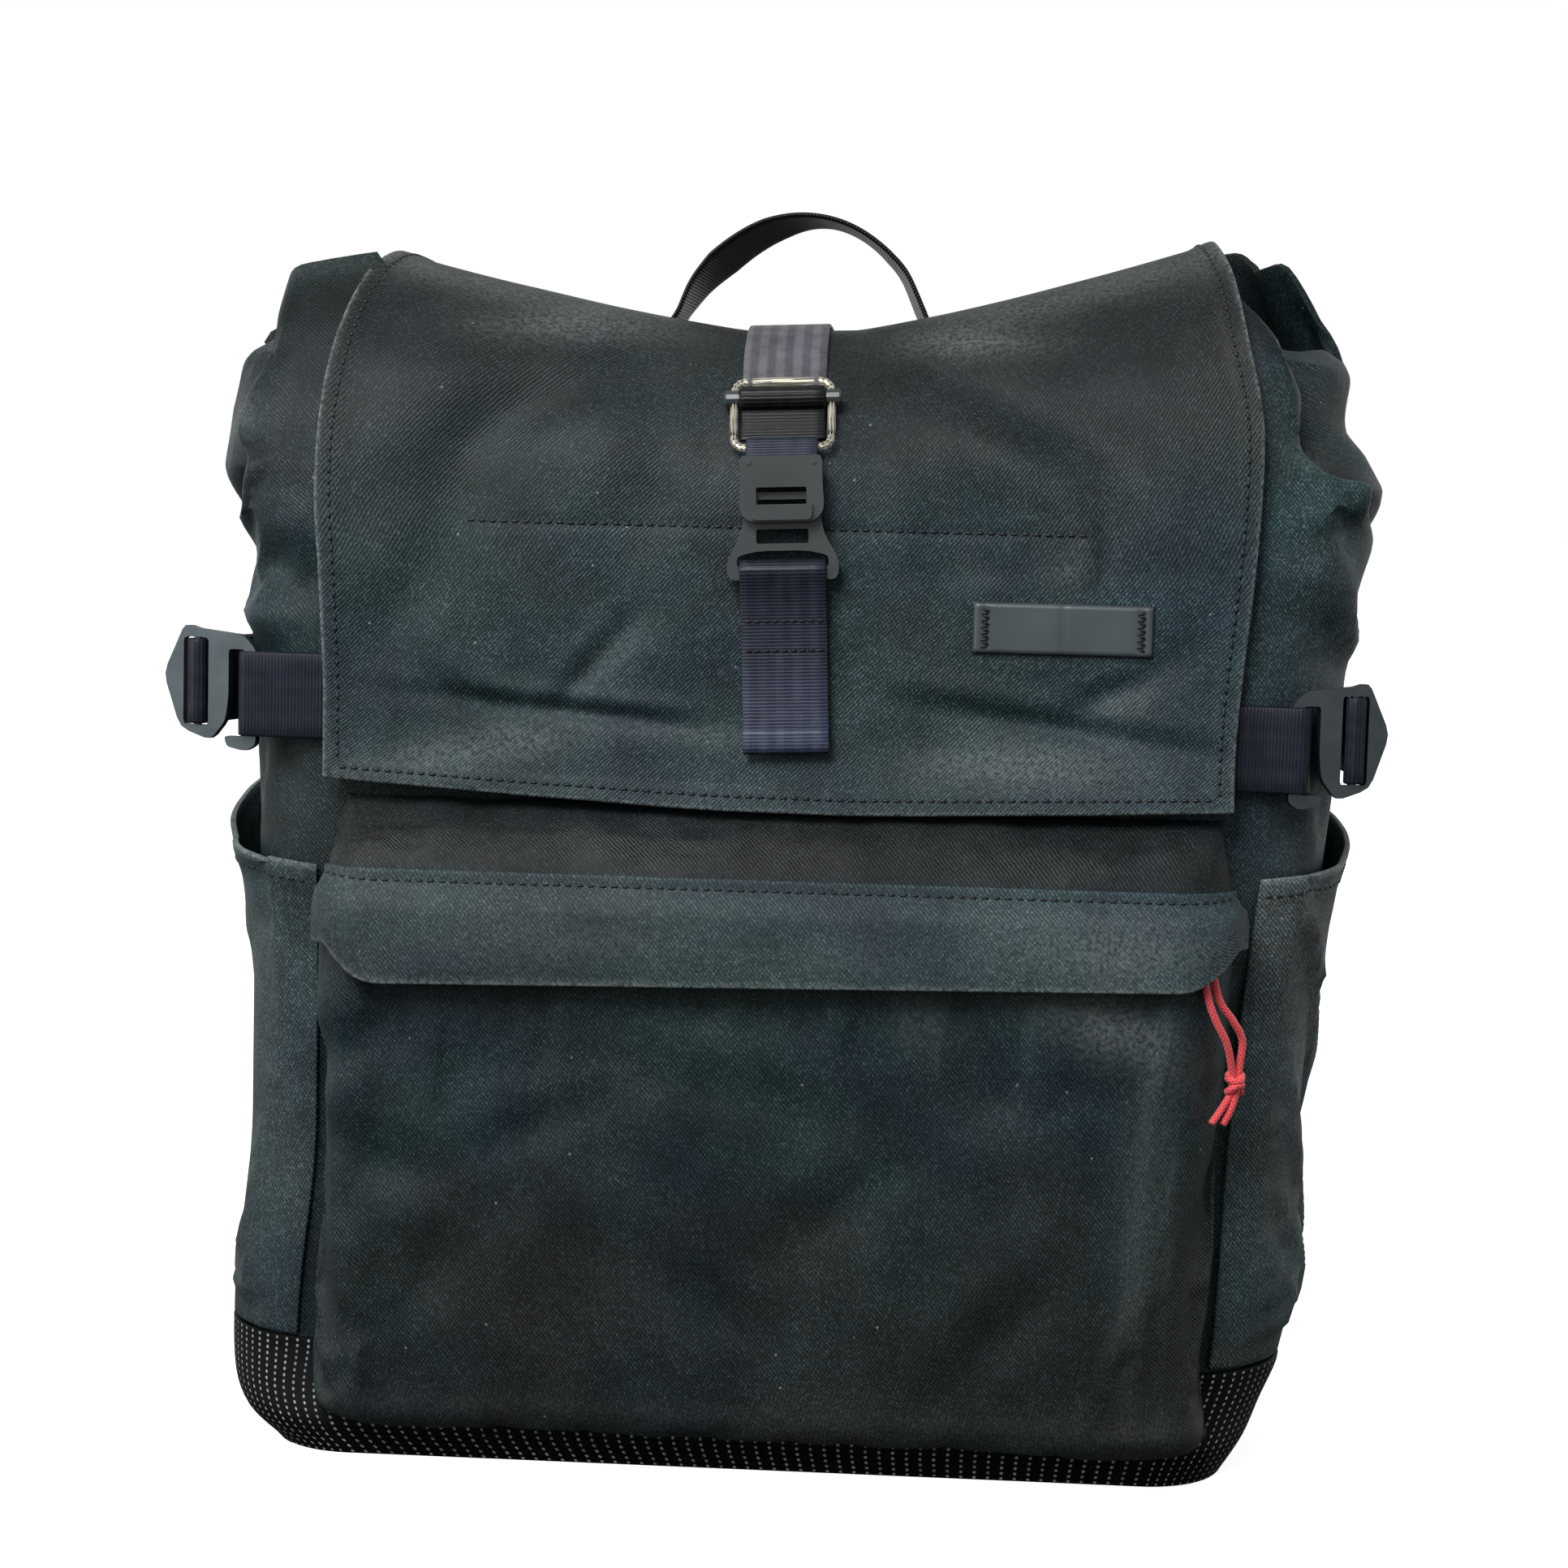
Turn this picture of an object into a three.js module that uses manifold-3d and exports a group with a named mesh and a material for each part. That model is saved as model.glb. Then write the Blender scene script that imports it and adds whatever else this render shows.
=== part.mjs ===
// Convertible bike backpack: a soft waxed-canvas pack that stands on a reinforced base.
// A flap lid folds over the gathered mouth and is held by one strap with a slider and a clip buckle.
// The front carries a zipped bellows pocket, each side an open pocket and a strap with a metal G-hook.
// Millimetres, +Z up, the front faces -Y, the origin lies under the middle of the body on the floor.
import * as THREE from 'three';
import { mergeVertices } from 'three/addons/utils/BufferGeometryUtils.js';
import Module from 'manifold-3d';

const wasm = await Module();
wasm.setup();

// Driving dimensions
const CANVAS = 2; // doubled waxed canvas wall
const POCKET_CANVAS = 1.8; // single layer with its hem
const GAP = 0.4; // room between two pieces that are sewn or laid together
const WEB_WIDTH = 25;
const WEB = 1.4; // webbing thickness
const LAID = GAP + WEB / 2; // from a surface to the middle of webbing laid on it
const FRONT = -58; // outer face of the body's front panel
const BACK = 60; // outer face of the body's back panel
const BASE_TOP = 32; // height of the reinforced base
const LIFT_POWER = 1.4; // how the rim of the mouth rises from its middle to the ears

// Body sections from the floor to the mouth.
const BODY_ROWS = [
  { z: 2.4, left: 148, right: 132, front: -66, back: 52, radius: 22 },
  { z: 10, left: 158.5, right: 138, front: -67, back: 56, radius: 26 },
  { z: 20, left: 164.5, right: 144.5, front: -62, back: 59, radius: 29 },
  { z: BASE_TOP, left: 166.5, right: 150.5, front: FRONT, back: BACK, radius: 32 },
  { z: 98, left: 161.5, right: 153.5, front: FRONT, back: BACK, radius: 32 },
  { z: 134, left: 161.5, right: 155.5, front: FRONT, back: BACK, radius: 32 },
  { z: 170, left: 162, right: 159, front: FRONT, back: BACK, radius: 32 },
  { z: 202, left: 163, right: 162, front: FRONT, back: BACK, radius: 32 },
  { z: 240, left: 165, right: 165, front: FRONT, back: BACK, radius: 32 },
  { z: 248, left: 170, right: 168.5, front: FRONT, back: BACK, radius: 32 },
  { z: 264, left: 168.5, right: 172, front: FRONT, back: BACK, radius: 33 },
  { z: 280, left: 174, right: 174.5, front: -57.5, back: BACK, radius: 34 },
  { z: 292, left: 180, right: 177, front: -56, back: BACK, radius: 34 },
  { z: 299, left: 180, right: 174, front: -54, back: BACK, radius: 32 },
  { z: 306, left: 176, right: 165, front: -50, back: BACK, radius: 30 },
  { z: 314, left: 172, right: 157, front: -42, back: 58.5, radius: 24 },
  { z: 322, left: 166, right: 147, front: -26, back: 52, radius: 15 },
];

// Ears: where each side of the mouth folds up, it has three layers. They are the front panel's lobe, a
// gusset that is tucked in behind it, and the rear panel's ear. Each layer has its distance from the middle
// and how far it rises above the section.
const EAR_ROWS = {
  right: [
    { z: 292, lobe: 168, tuck: 164, gusset: 177.5, rear: 176, lobeLift: 3, gussetLift: 3, rearLift: 3 },
    { z: 299, lobe: 147, tuck: 134, gusset: 172, rear: 172, lobeLift: 6, gussetLift: 6, rearLift: 7 },
    { z: 306, lobe: 146.5, tuck: 130, gusset: 164, rear: 165, lobeLift: 12, gussetLift: 11, rearLift: 16 },
    { z: 314, lobe: 141, tuck: 126, gusset: 165, rear: 157, lobeLift: 21, gussetLift: 15, rearLift: 29 },
    { z: 322, lobe: 124, tuck: 115, gusset: 160, rear: 148, lobeLift: 34, gussetLift: 14, rearLift: 43 },
  ],
  left: [
    { z: 292, lobe: 162, tuck: 154, gusset: 181, rear: 177, lobeLift: 2, gussetLift: 2, rearLift: 3 },
    { z: 299, lobe: 165, tuck: 152, gusset: 180.5, rear: 174, lobeLift: 5, gussetLift: 3, rearLift: 8 },
    { z: 306, lobe: 162, tuck: 149, gusset: 176, rear: 173.5, lobeLift: 7, gussetLift: 9, rearLift: 16 },
    { z: 314, lobe: 155.5, tuck: 144, gusset: 172, rear: 173, lobeLift: 13, gussetLift: 13, rearLift: 26 },
    { z: 322, lobe: 152, tuck: 140, gusset: 163, rear: 169, lobeLift: 28, gussetLift: 10, rearLift: 36 },
  ],
};
// Places round an ear from front to back: part of the way from one layer to another, drawn in by inset,
// at a distance after the front panel or before the back panel.
const EAR_PLACES = [
  { from: 'lobe', to: 'lobe', share: 0, inset: 14, after: 0 },
  { from: 'lobe', to: 'lobe', share: 0, inset: 3.5, after: 0.8 },
  { from: 'lobe', to: 'lobe', share: 0, inset: 0, after: 4 },
  { from: 'lobe', to: 'lobe', share: 0, inset: 1.5, after: 7.5 },
  { from: 'lobe', to: 'tuck', share: 0.6, inset: 0, after: 10.5 },
  { from: 'lobe', to: 'tuck', share: 1, inset: 0, after: 13 },
  { from: 'tuck', to: 'gusset', share: 0.25, inset: 0, after: 15.5 },
  { from: 'tuck', to: 'gusset', share: 0.6, inset: 0, after: 21 },
  { from: 'tuck', to: 'gusset', share: 0.88, inset: 0, after: 30 },
  { from: 'tuck', to: 'gusset', share: 1, inset: 0, after: 44 },
  { from: 'gusset', to: 'rear', share: 0.3, inset: 0, before: 33 },
  { from: 'gusset', to: 'rear', share: 0.7, inset: 0, before: 30 },
  { from: 'gusset', to: 'rear', share: 1, inset: 0, before: 24 },
  { from: 'rear', to: 'rear', share: 0, inset: 0, before: 14 },
  { from: 'rear', to: 'rear', share: 0, inset: 2, before: 7 },
  { from: 'rear', to: 'rear', share: 0, inset: 7, before: 2 },
  { from: 'rear', to: 'rear', share: 0, inset: 16, before: 0 },
];
const LAYER_LIFT = { lobe: 'lobeLift', tuck: 'lobeLift', gusset: 'gussetLift', rear: 'rearLift' };

// Creases of the side panels: each row is one valley pressed into the canvas.
const BODY_FOLDS = [
  { side: 1, y: 2, z: 276, tilt: 25, length: 34, width: 10, depth: 3 },
  { side: 1, y: -12, z: 250, tilt: -35, length: 30, width: 11, depth: 3 },
  { side: -1, y: 8, z: 270, tilt: 150, length: 36, width: 11, depth: 3.5 },
  { side: -1, y: -8, z: 248, tilt: 40, length: 28, width: 10, depth: 3 },
];

// Flap lid from its back hem over the top to its front hem: the profile at the middle, pressed down
// by the strap, and at the two side edges, which stand up as stiff corners. skew raises the right edge
// and lowers the left one.
const LID_ROWS = [
  { midY: 62.6, midZ: 292, edgeY: 62.6, edgeZ: 292, left: 116, right: 116, skew: 0 },
  { midY: 62.6, midZ: 312, edgeY: 62.6, edgeZ: 322, left: 118, right: 117, skew: 1 },
  { midY: 60.5, midZ: 325, edgeY: 61, edgeZ: 342, left: 121, right: 119, skew: 2.5 },
  { midY: 53, midZ: 334, edgeY: 54, edgeZ: 355, left: 123, right: 121, skew: 4 },
  { midY: 42, midZ: 337, edgeY: 41, edgeZ: 361, left: 124, right: 122, skew: 4.2 },
  { midY: 12, midZ: 338, edgeY: 14, edgeZ: 363, left: 126, right: 122.5, skew: 4.2 },
  { midY: -12, midZ: 336, edgeY: -10, edgeZ: 361.5, left: 128, right: 123, skew: 4.2 },
  { midY: -36, midZ: 325, edgeY: -33, edgeZ: 352, left: 132, right: 126, skew: 3.4 },
  { midY: -52, midZ: 310, edgeY: -49, edgeZ: 334, left: 136.5, right: 129.5, skew: 2.4 },
  { midY: -61, midZ: 293, edgeY: -58.5, edgeZ: 310, left: 139.5, right: 134, skew: 1.2 },
  { midY: -64, midZ: 275, edgeY: -62.5, edgeZ: 285, left: 140, right: 134, skew: 0.4 },
  { midY: -64.5, midZ: 262, edgeY: -64.5, edgeZ: 262, left: 138, right: 132.5, skew: 0 },
  { midY: -64.5, midZ: 232, edgeY: -64.5, edgeZ: 232, left: 136, right: 130, skew: 0 },
  { midY: -66.5, midZ: 212, edgeY: -66, edgeZ: 214, left: 135.5, right: 129, skew: -0.6 },
  { midY: -70, midZ: 195, edgeY: -68.5, edgeZ: 200, left: 135, right: 129, skew: -1.2 },
];
const LID_FLAT = 0.12; // share of the half width that the strap keeps level
const LID_POWER = 1.2;
const LID_STEPS = 9; // columns on each side of the level middle

// Front pocket sections: a U in plan, sewn to the body, that droops over the base. radius rounds its
// left corner, bend its softer right corner.
const POCKET_ROWS = [
  { z: 33.5, left: 128, right: 122, depth: 5.5, radius: 2.4, bend: 2.4 },
  { z: 19, left: 131, right: 124.5, depth: 16, radius: 8.5, bend: 8.5 },
  { z: 15.5, left: 132.5, right: 126, depth: 24, radius: 14, bend: 14 },
  { z: 22, left: 134, right: 127, depth: 29.5, radius: 16, bend: 20 },
  { z: 33.5, left: 135, right: 126, depth: 30.6, radius: 15, bend: 22 },
  { z: 42, left: 134, right: 125.5, depth: 31, radius: 15, bend: 22 },
  { z: 75, left: 133, right: 126, depth: 31, radius: 15, bend: 22 },
  { z: 110, left: 133, right: 129, depth: 30, radius: 15, bend: 22 },
  { z: 138, left: 133.5, right: 131, depth: 28, radius: 15, bend: 21 },
  { z: 158, left: 133.5, right: 131, depth: 26, radius: 15, bend: 20 },
  { z: 174, left: 133, right: 130, depth: 23.5, radius: 14, bend: 18 },
  { z: 186, left: 131, right: 128.5, depth: 17, radius: 11, bend: 13 },
  { z: 193, left: 130, right: 127.5, depth: 9, radius: 6, bend: 6 },
  { z: 196, left: 129.5, right: 127, depth: 4, radius: 3, bend: 3 },
];
const ZIP_SLOT = { low: 160, high: 167, left: -112, right: 124 };

// Storm flap over the zip: how far its inner face stands off the pocket, and how far its right end is
// drawn up, from the seam to the hem.
const STORM_ROWS = [
  { z: 177, off: 0.4, skew: 0 },
  { z: 172, off: 0.8, skew: 0.4 },
  { z: 166, off: 2.8, skew: 1 },
  { z: 158, off: 3.4, skew: 1.8 },
  { z: 147, off: 3.6, skew: 2.6 },
];

// The two sides hang unevenly: side pocket mouth and bulge, strap height, and where the hook's bar sits.
// swell is the share of the bulge at each height. run and turn are the rear strap's two layers on their way
// to the hook, each place as distance out of the side and y.
const SWELL_HEIGHTS = [33, 62, 98, 134, 162];
const SIDES = {
  right: {
    side: 1, mouthFront: 179, mouthRear: 199, bulge: 11, swell: [0, 0.4, 0.42, 0.42, 0.8],
    strapZ: 217, bar: { fromCorner: 14, y: -60.2 },
    run: [[0.5, 8], [1.6, -14], [3.4, -37]],
    turn: [[-1.2, -38], [0.2, -27]],
  },
  left: {
    side: -1, mouthFront: 174.5, mouthRear: 203, bulge: 15, swell: [0, 0.05, 0.1, 0.3, 0.58],
    strapZ: 224.5, bar: { fromCorner: 25.5, y: -57.5 },
    run: [[0.5, 8], [4, -14], [9.5, -38]],
    turn: [[3.8, -38], [0.8, -24]],
  },
};

// Closure: the slider frame on the slope of the lid, its bar, and the clip buckle below.
const SLIDER = { y: -56, z: 310, tilt: 58, halfWidth: 14.2, halfLength: 11.5, corner: 4, wire: 1.2 };
const SLIDER_BAR = { up: 5.5, radius: 2, boss: 2.6, bossFrom: 12.8, halfLength: 17 };
const BUCKLE = {
  y: -69.2, z: 294.5, tilt: 85.1, plate: 3, half: 11.8, topBar: -3.2, bottomBar: -29.8,
};
const CLOSURE_LEAN = -2.5; // the strap and its fittings lean to the left, turned about the pull strap's end
const PULL_STRAP = { backEnd: 236, end: 213 };
const LOOP_WIDTH = 20.8; // short webbing loop between slider and buckle

// Side hook, in its own plane: x runs outwards from the bar that the front loop holds, y up.
const HOOK = { plate: 3, barHalf: 1.8, slotX: 17.5, slotHalf: 4, slotHeight: 13, aboveStrap: 3.1, turn: 12 };

const LABEL = { x: 78.5, z: 250, width: 52, height: 15, thick: 1.2, corner: 1.5 };
const HANDLE = {
  left: -43.5, right: 34.5, tab: 16, top: 375.6, rearY: 54, frontY: 29, lean: 1.15, power: 0.6,
};
const PAD = { topZ: 286, bottomZ: 96, topX: 40, spread: 34, bow: 34, width: 54, thick: 8 };
const PAD_WEB = { endX: 118, endZ: 46 };
const CORD = { radius: 1.1, sides: 8 };

// Finishes
function finish(color, roughness, metalness = 0) {
  return new THREE.MeshStandardMaterial({ color, roughness, metalness });
}

const canvas = finish('#24292a', 0.82);
const baseCloth = finish('#14171a', 0.7);
const webbing = finish('#2a2a33', 0.6);
const plastic = finish('#363b3d', 0.45);
const steel = finish('#d9d4bf', 0.25, 1);
const gunmetal = finish('#767f7e', 0.4, 1);
const rubber = finish('#3d4446', 0.5);
const cord = finish('#e2434e', 0.7);
const foam = finish('#1b1e20', 0.85);

const vec = (x, y, z) => new THREE.Vector3(x, y, z);
const rad = (degrees) => (degrees * Math.PI) / 180;
const mix = (a, b, share) => a + (b - a) * share;
const spread = (count, place) => Array.from({ length: count + 1 }, (_, i) => place(i / count));

// The row of a table at a value of its key column, straight between the rows on either side.
function rowAt(rows, key, value) {
  const after = Math.max(1, rows.findIndex((row) => row[key] >= value));
  const [a, b] = [rows[after - 1], rows[after]];
  const share = (value - a[key]) / (b[key] - a[key]);
  return Object.fromEntries(Object.keys(a).map((name) => [name, mix(a[name], b[name], share)]));
}

// One closed body from points and faces, with its faces turned outwards.
function closedBody(points, faces) {
  const triangles = faces.flatMap(([a, b, c, d]) => (d === undefined ? [[a, b, c]] : [[a, b, c], [a, c, d]]));
  const volume = triangles.reduce((sum, [a, b, c]) => {
    const normal = vec(0, 0, 0).crossVectors(points[b], points[c]);
    return sum + points[a].dot(normal);
  }, 0);
  const order = volume < 0 ? triangles.map(([a, b, c]) => [a, c, b]) : triangles;
  const geometry = new THREE.BufferGeometry().setFromPoints(points);
  geometry.setIndex(order.flat());
  geometry.computeVertexNormals();
  return geometry;
}

// A cloth wall between an outer and an inner grid of points. Rings close round, a floor closes row 0.
function clothWall(outer, inner, { around = false, floor = false } = {}) {
  const rows = outer.length;
  const columns = outer[0].length;
  const points = [...outer.flat(), ...inner.flat()];
  const out = (i, j) => i * columns + (j % columns);
  const into = (i, j) => rows * columns + out(i, j);
  const faces = [];
  const across = around ? columns : columns - 1;
  for (let i = 0; i < rows - 1; i++) {
    for (let j = 0; j < across; j++) {
      faces.push([out(i, j), out(i, j + 1), out(i + 1, j + 1), out(i + 1, j)]);
      faces.push([into(i, j), into(i + 1, j), into(i + 1, j + 1), into(i, j + 1)]);
    }
    if (!around) {
      const end = columns - 1;
      faces.push([out(i, 0), out(i + 1, 0), into(i + 1, 0), into(i, 0)]);
      faces.push([out(i + 1, end), out(i, end), into(i, end), into(i + 1, end)]);
    }
  }
  const top = rows - 1;
  for (let j = 0; j < across; j++) {
    faces.push([out(top, j), out(top, j + 1), into(top, j + 1), into(top, j)]);
    if (!floor) faces.push([out(0, j + 1), out(0, j), into(0, j), into(0, j + 1)]);
  }
  if (floor) {
    const under = points.push(middleOf(outer[0])) - 1;
    const over = points.push(middleOf(inner[0])) - 1;
    for (let j = 0; j < across; j++) {
      faces.push([out(0, j + 1), out(0, j), under]);
      faces.push([into(0, j), into(0, j + 1), over]);
    }
  }
  return closedBody(points, faces);
}

function middleOf(points) {
  return points.reduce((sum, p) => sum.add(p), vec(0, 0, 0)).divideScalar(points.length);
}

// A grid moved along its own surface normal, which the cross product of columns and rows gives.
function offsetGrid(grid, distance) {
  const clamp = (i, count) => Math.min(Math.max(i, 0), count - 1);
  const pick = (i, j) => grid[clamp(i, grid.length)][clamp(j, grid[0].length)];
  return grid.map((row, i) => row.map((p, j) => {
    const along = pick(i + 1, j).clone().sub(pick(i - 1, j));
    const across = pick(i, j + 1).clone().sub(pick(i, j - 1));
    return p.clone().addScaledVector(across.cross(along).normalize(), distance);
  }));
}

// A flat band of webbing: a rectangle swept along a path that lies square to its width direction.
function band(path, widthways, width, thick) {
  const side = widthways.clone().normalize();
  const sections = path.map((p, i) => {
    const before = path[Math.max(i - 1, 0)];
    const after = path[Math.min(i + 1, path.length - 1)];
    const normal = after.clone().sub(before).cross(side).normalize();
    const corner = (s, n) => p.clone()
      .addScaledVector(side, (s * width) / 2)
      .addScaledVector(normal, (n * thick) / 2);
    return [corner(-1, -1), corner(1, -1), corner(1, 1), corner(-1, 1)];
  });
  return sweptBody(sections);
}

// A closed body through a row of matching sections, closed by its two end sections or on itself.
function sweptBody(sections, looped = false) {
  const count = sections[0].length;
  const points = sections.flat();
  const last = looped ? sections.length : sections.length - 1;
  const index = (i, j) => (i % sections.length) * count + (j % count);
  const faces = [];
  for (let i = 0; i < last; i++) {
    for (let j = 0; j < count; j++) {
      faces.push([index(i, j), index(i, j + 1), index(i + 1, j + 1), index(i + 1, j)]);
    }
  }
  if (!looped) {
    for (let j = 1; j < count - 1; j++) {
      faces.push([index(0, 0), index(0, j + 1), index(0, j)]);
      faces.push([index(last, 0), index(last, j), index(last, j + 1)]);
    }
  }
  return closedBody(points, faces);
}

// A closed outline with rounded corners from [x, y, radius] rows.
function roundedOutline(rows, outline = new THREE.Shape()) {
  rows.forEach(([x, y, radius], i) => {
    const corner = new THREE.Vector2(x, y);
    const towards = (row) => new THREE.Vector2(row[0], row[1]).sub(corner).setLength(radius).add(corner);
    const start = towards(rows.at(i - 1));
    const end = towards(rows[(i + 1) % rows.length]);
    if (i === 0) outline.moveTo(start.x, start.y);
    else outline.lineTo(start.x, start.y);
    outline.quadraticCurveTo(x, y, end.x, end.y);
  });
  outline.closePath();
  return outline;
}

const rectangle = (x0, x1, y0, y1, r) => [[x0, y0, r], [x1, y0, r], [x1, y1, r], [x0, y1, r]];
const plate = (shape, depth, curveSegments = 3) =>
  new THREE.ExtrudeGeometry(shape, { depth, bevelEnabled: false, curveSegments });

// Joins and cuts
function asSolid(geometry) {
  const bare = new THREE.BufferGeometry().setAttribute('position', geometry.getAttribute('position').clone());
  bare.setIndex(geometry.index);
  const merged = mergeVertices(bare, 1e-4);
  return new wasm.Manifold(new wasm.Mesh({
    numProp: 3,
    vertProperties: merged.getAttribute('position').array,
    triVerts: new Uint32Array(merged.index.array),
  }));
}

function asGeometry(solid) {
  const mesh = solid.getMesh();
  const geometry = new THREE.BufferGeometry();
  geometry.setAttribute('position', new THREE.BufferAttribute(new Float32Array(mesh.vertProperties), 3));
  geometry.setIndex([...mesh.triVerts]);
  geometry.computeVertexNormals();
  return geometry;
}

const joined = (...geometries) => asGeometry(geometries.map(asSolid).reduce((a, b) => a.add(b)));

function cut(geometry, ...tools) {
  return asGeometry(tools.map(asSolid).reduce((a, b) => a.subtract(b), asSolid(geometry)));
}

const bag = new THREE.Group();

function add(name, geometry, material, parent = bag) {
  const mesh = new THREE.Mesh(geometry, material);
  mesh.name = name;
  parent.add(mesh);
  return mesh;
}

// The closure strap and its fittings lean together.
const closure = new THREE.Group();
closure.rotation.y = rad(CLOSURE_LEAN);
closure.position.copy(vec(0, 0, PULL_STRAP.end).sub(vec(0, 0, PULL_STRAP.end).applyEuler(closure.rotation)));
bag.add(closure);

// A group laid on the slope of the lid: its local y runs up the slope and its local z out of it.
function slopeGroup({ y, z, tilt }) {
  const group = new THREE.Group();
  group.position.set(0, y, z);
  group.rotation.x = rad(tilt);
  closure.add(group);
  return group;
}

// Body: a rounded rectangle in plan, with layered ears where its sides fold up to the mouth
const ARC_STEPS = 4;
const SIDE_STEPS = 8;
const WIDE_STEPS = 8;

function foldDepth(side, y, z) {
  return BODY_FOLDS.filter((fold) => fold.side === side).reduce((sum, fold) => {
    const [dy, dz] = [y - fold.y, z - fold.z];
    const along = dy * Math.cos(rad(fold.tilt)) + dz * Math.sin(rad(fold.tilt));
    const across = dz * Math.cos(rad(fold.tilt)) - dy * Math.sin(rad(fold.tilt));
    return sum + fold.depth * Math.exp(-((along / fold.length) ** 2) - (across / fold.width) ** 2);
  }, 0);
}

// The section of the body below its ears, as points with their outward normals.
function plainRing(z, outwards) {
  const { left, right, front, back, radius } = rowAt(BODY_ROWS, 'z', z);
  const corners = [
    { x: right - radius, y: front + radius, from: -90, steps: SIDE_STEPS },
    { x: right - radius, y: back - radius, from: 0, steps: WIDE_STEPS },
    { x: radius - left, y: back - radius, from: 90, steps: SIDE_STEPS },
    { x: radius - left, y: front + radius, from: 180, steps: WIDE_STEPS },
  ];
  const ring = [];
  corners.forEach((corner, k) => {
    const next = corners[(k + 1) % corners.length];
    for (let i = 0; i < ARC_STEPS + corner.steps; i++) {
      const angle = rad(corner.from + 90 * Math.min(1, i / ARC_STEPS));
      const share = Math.max(0, (i - ARC_STEPS) / corner.steps);
      const normal = vec(Math.cos(angle), Math.sin(angle), 0);
      const point = vec(mix(corner.x, next.x, share), mix(corner.y, next.y, share), z);
      point.addScaledVector(normal, radius);
      const fold = foldDepth(Math.sign(normal.x), point.y, z);
      point.x -= Math.sign(Math.round(normal.x * 10)) * fold * normal.x ** 2;
      ring.push({ normal, point: point.addScaledVector(normal, outwards) });
    }
  });
  return ring;
}

// One side of a section through the ears, from the front panel to the back panel.
function earSide(side, section, ear) {
  return EAR_PLACES.map(({ from, to, share, inset, after, before }) => {
    const reach = mix(ear[from], ear[to], share);
    const lift = mix(ear[LAYER_LIFT[from]], ear[LAYER_LIFT[to]], share);
    const x = reach - inset;
    const y = after === undefined ? section.back - before : section.front + after;
    return vec(side * x, y, section.z + lift * (x / reach) ** LIFT_POWER);
  });
}

// The front or back panel of a section through the ears, without its end point.
function earPanel(start, end, z, layer, ears) {
  return spread(WIDE_STEPS, (t) => {
    const x = mix(start.x, end.x, t);
    const ear = x < 0 ? ears.left : ears.right;
    return vec(x, start.y, z + ear[LAYER_LIFT[layer]] * (Math.abs(x) / ear[layer]) ** LIFT_POWER);
  }).slice(0, -1);
}

// A section through the ears, in the order of the plain ring.
function earRing(z, outwards) {
  const section = rowAt(BODY_ROWS, 'z', z);
  const ears = { right: rowAt(EAR_ROWS.right, 'z', z), left: rowAt(EAR_ROWS.left, 'z', z) };
  const right = earSide(1, section, ears.right);
  const left = earSide(-1, section, ears.left);
  const points = [
    ...right.slice(0, -1),
    ...earPanel(right.at(-1), left.at(-1), z, 'rear', ears),
    ...left.slice(1).reverse(),
    ...earPanel(left[0], right[0], z, 'lobe', ears),
  ];
  return points.map((p, i) => {
    const along = points[(i + 1) % points.length].clone().sub(points.at(i - 1));
    const normal = vec(along.y, -along.x, 0).normalize();
    return { normal, point: p.clone().addScaledVector(normal, outwards) };
  });
}

const EAR_FOOT = EAR_ROWS.right[0].z;
const bodyRing = (z, outwards = 0) => (z < EAR_FOOT ? plainRing(z, outwards) : earRing(z, outwards));
const ringPoints = (z, outwards) => bodyRing(z, outwards).map(({ point }) => point);
const atHeight = (points, z) => points.map((p) => vec(p.x, p.y, z));
const FLOOR = BODY_ROWS[0].z;

add('body', clothWall(
  BODY_ROWS.map(({ z }) => ringPoints(z, 0)),
  BODY_ROWS.map(({ z }) => {
    const inner = ringPoints(z, -CANVAS);
    return z === FLOOR ? atHeight(inner, z + CANVAS) : inner;
  }),
  { around: true, floor: true },
), canvas);

// Base: a boot of dotted cloth round the lowest body sections
const baseRows = BODY_ROWS.filter(({ z }) => z <= BASE_TOP).map(({ z }) => z);
add('base', clothWall(
  baseRows.map((z) => (z === FLOOR ? atHeight(ringPoints(z, GAP + CANVAS), 0) : ringPoints(z, GAP + CANVAS))),
  baseRows.map((z) => (z === FLOOR ? atHeight(ringPoints(z, GAP), CANVAS) : ringPoints(z, GAP))),
  { around: true, floor: true },
), baseCloth);

// Lid: one sheet whose middle is pressed down by the strap
const lidShares = [
  ...spread(LID_STEPS - 1, (t) => mix(-1, -LID_FLAT, t)),
  ...spread(LID_STEPS - 1, (t) => mix(LID_FLAT, 1, t)),
];

function lidPoint(row, share) {
  const rise = Math.max(0, (Math.abs(share) - LID_FLAT) / (1 - LID_FLAT)) ** LID_POWER;
  const half = share < 0 ? row.left : row.right;
  return vec(share * half, mix(row.midY, row.edgeY, rise), mix(row.midZ, row.edgeZ, rise) + row.skew * share);
}

const lidOuter = LID_ROWS.map((row) => lidShares.map((share) => lidPoint(row, share)));
add('lid', clothWall(lidOuter, offsetGrid(lidOuter, CANVAS)), canvas);

// Front pocket, its zip slot and the storm flap
const POCKET_ARC_STEPS = 4;
const POCKET_FRONT_STEPS = 12;

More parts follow.
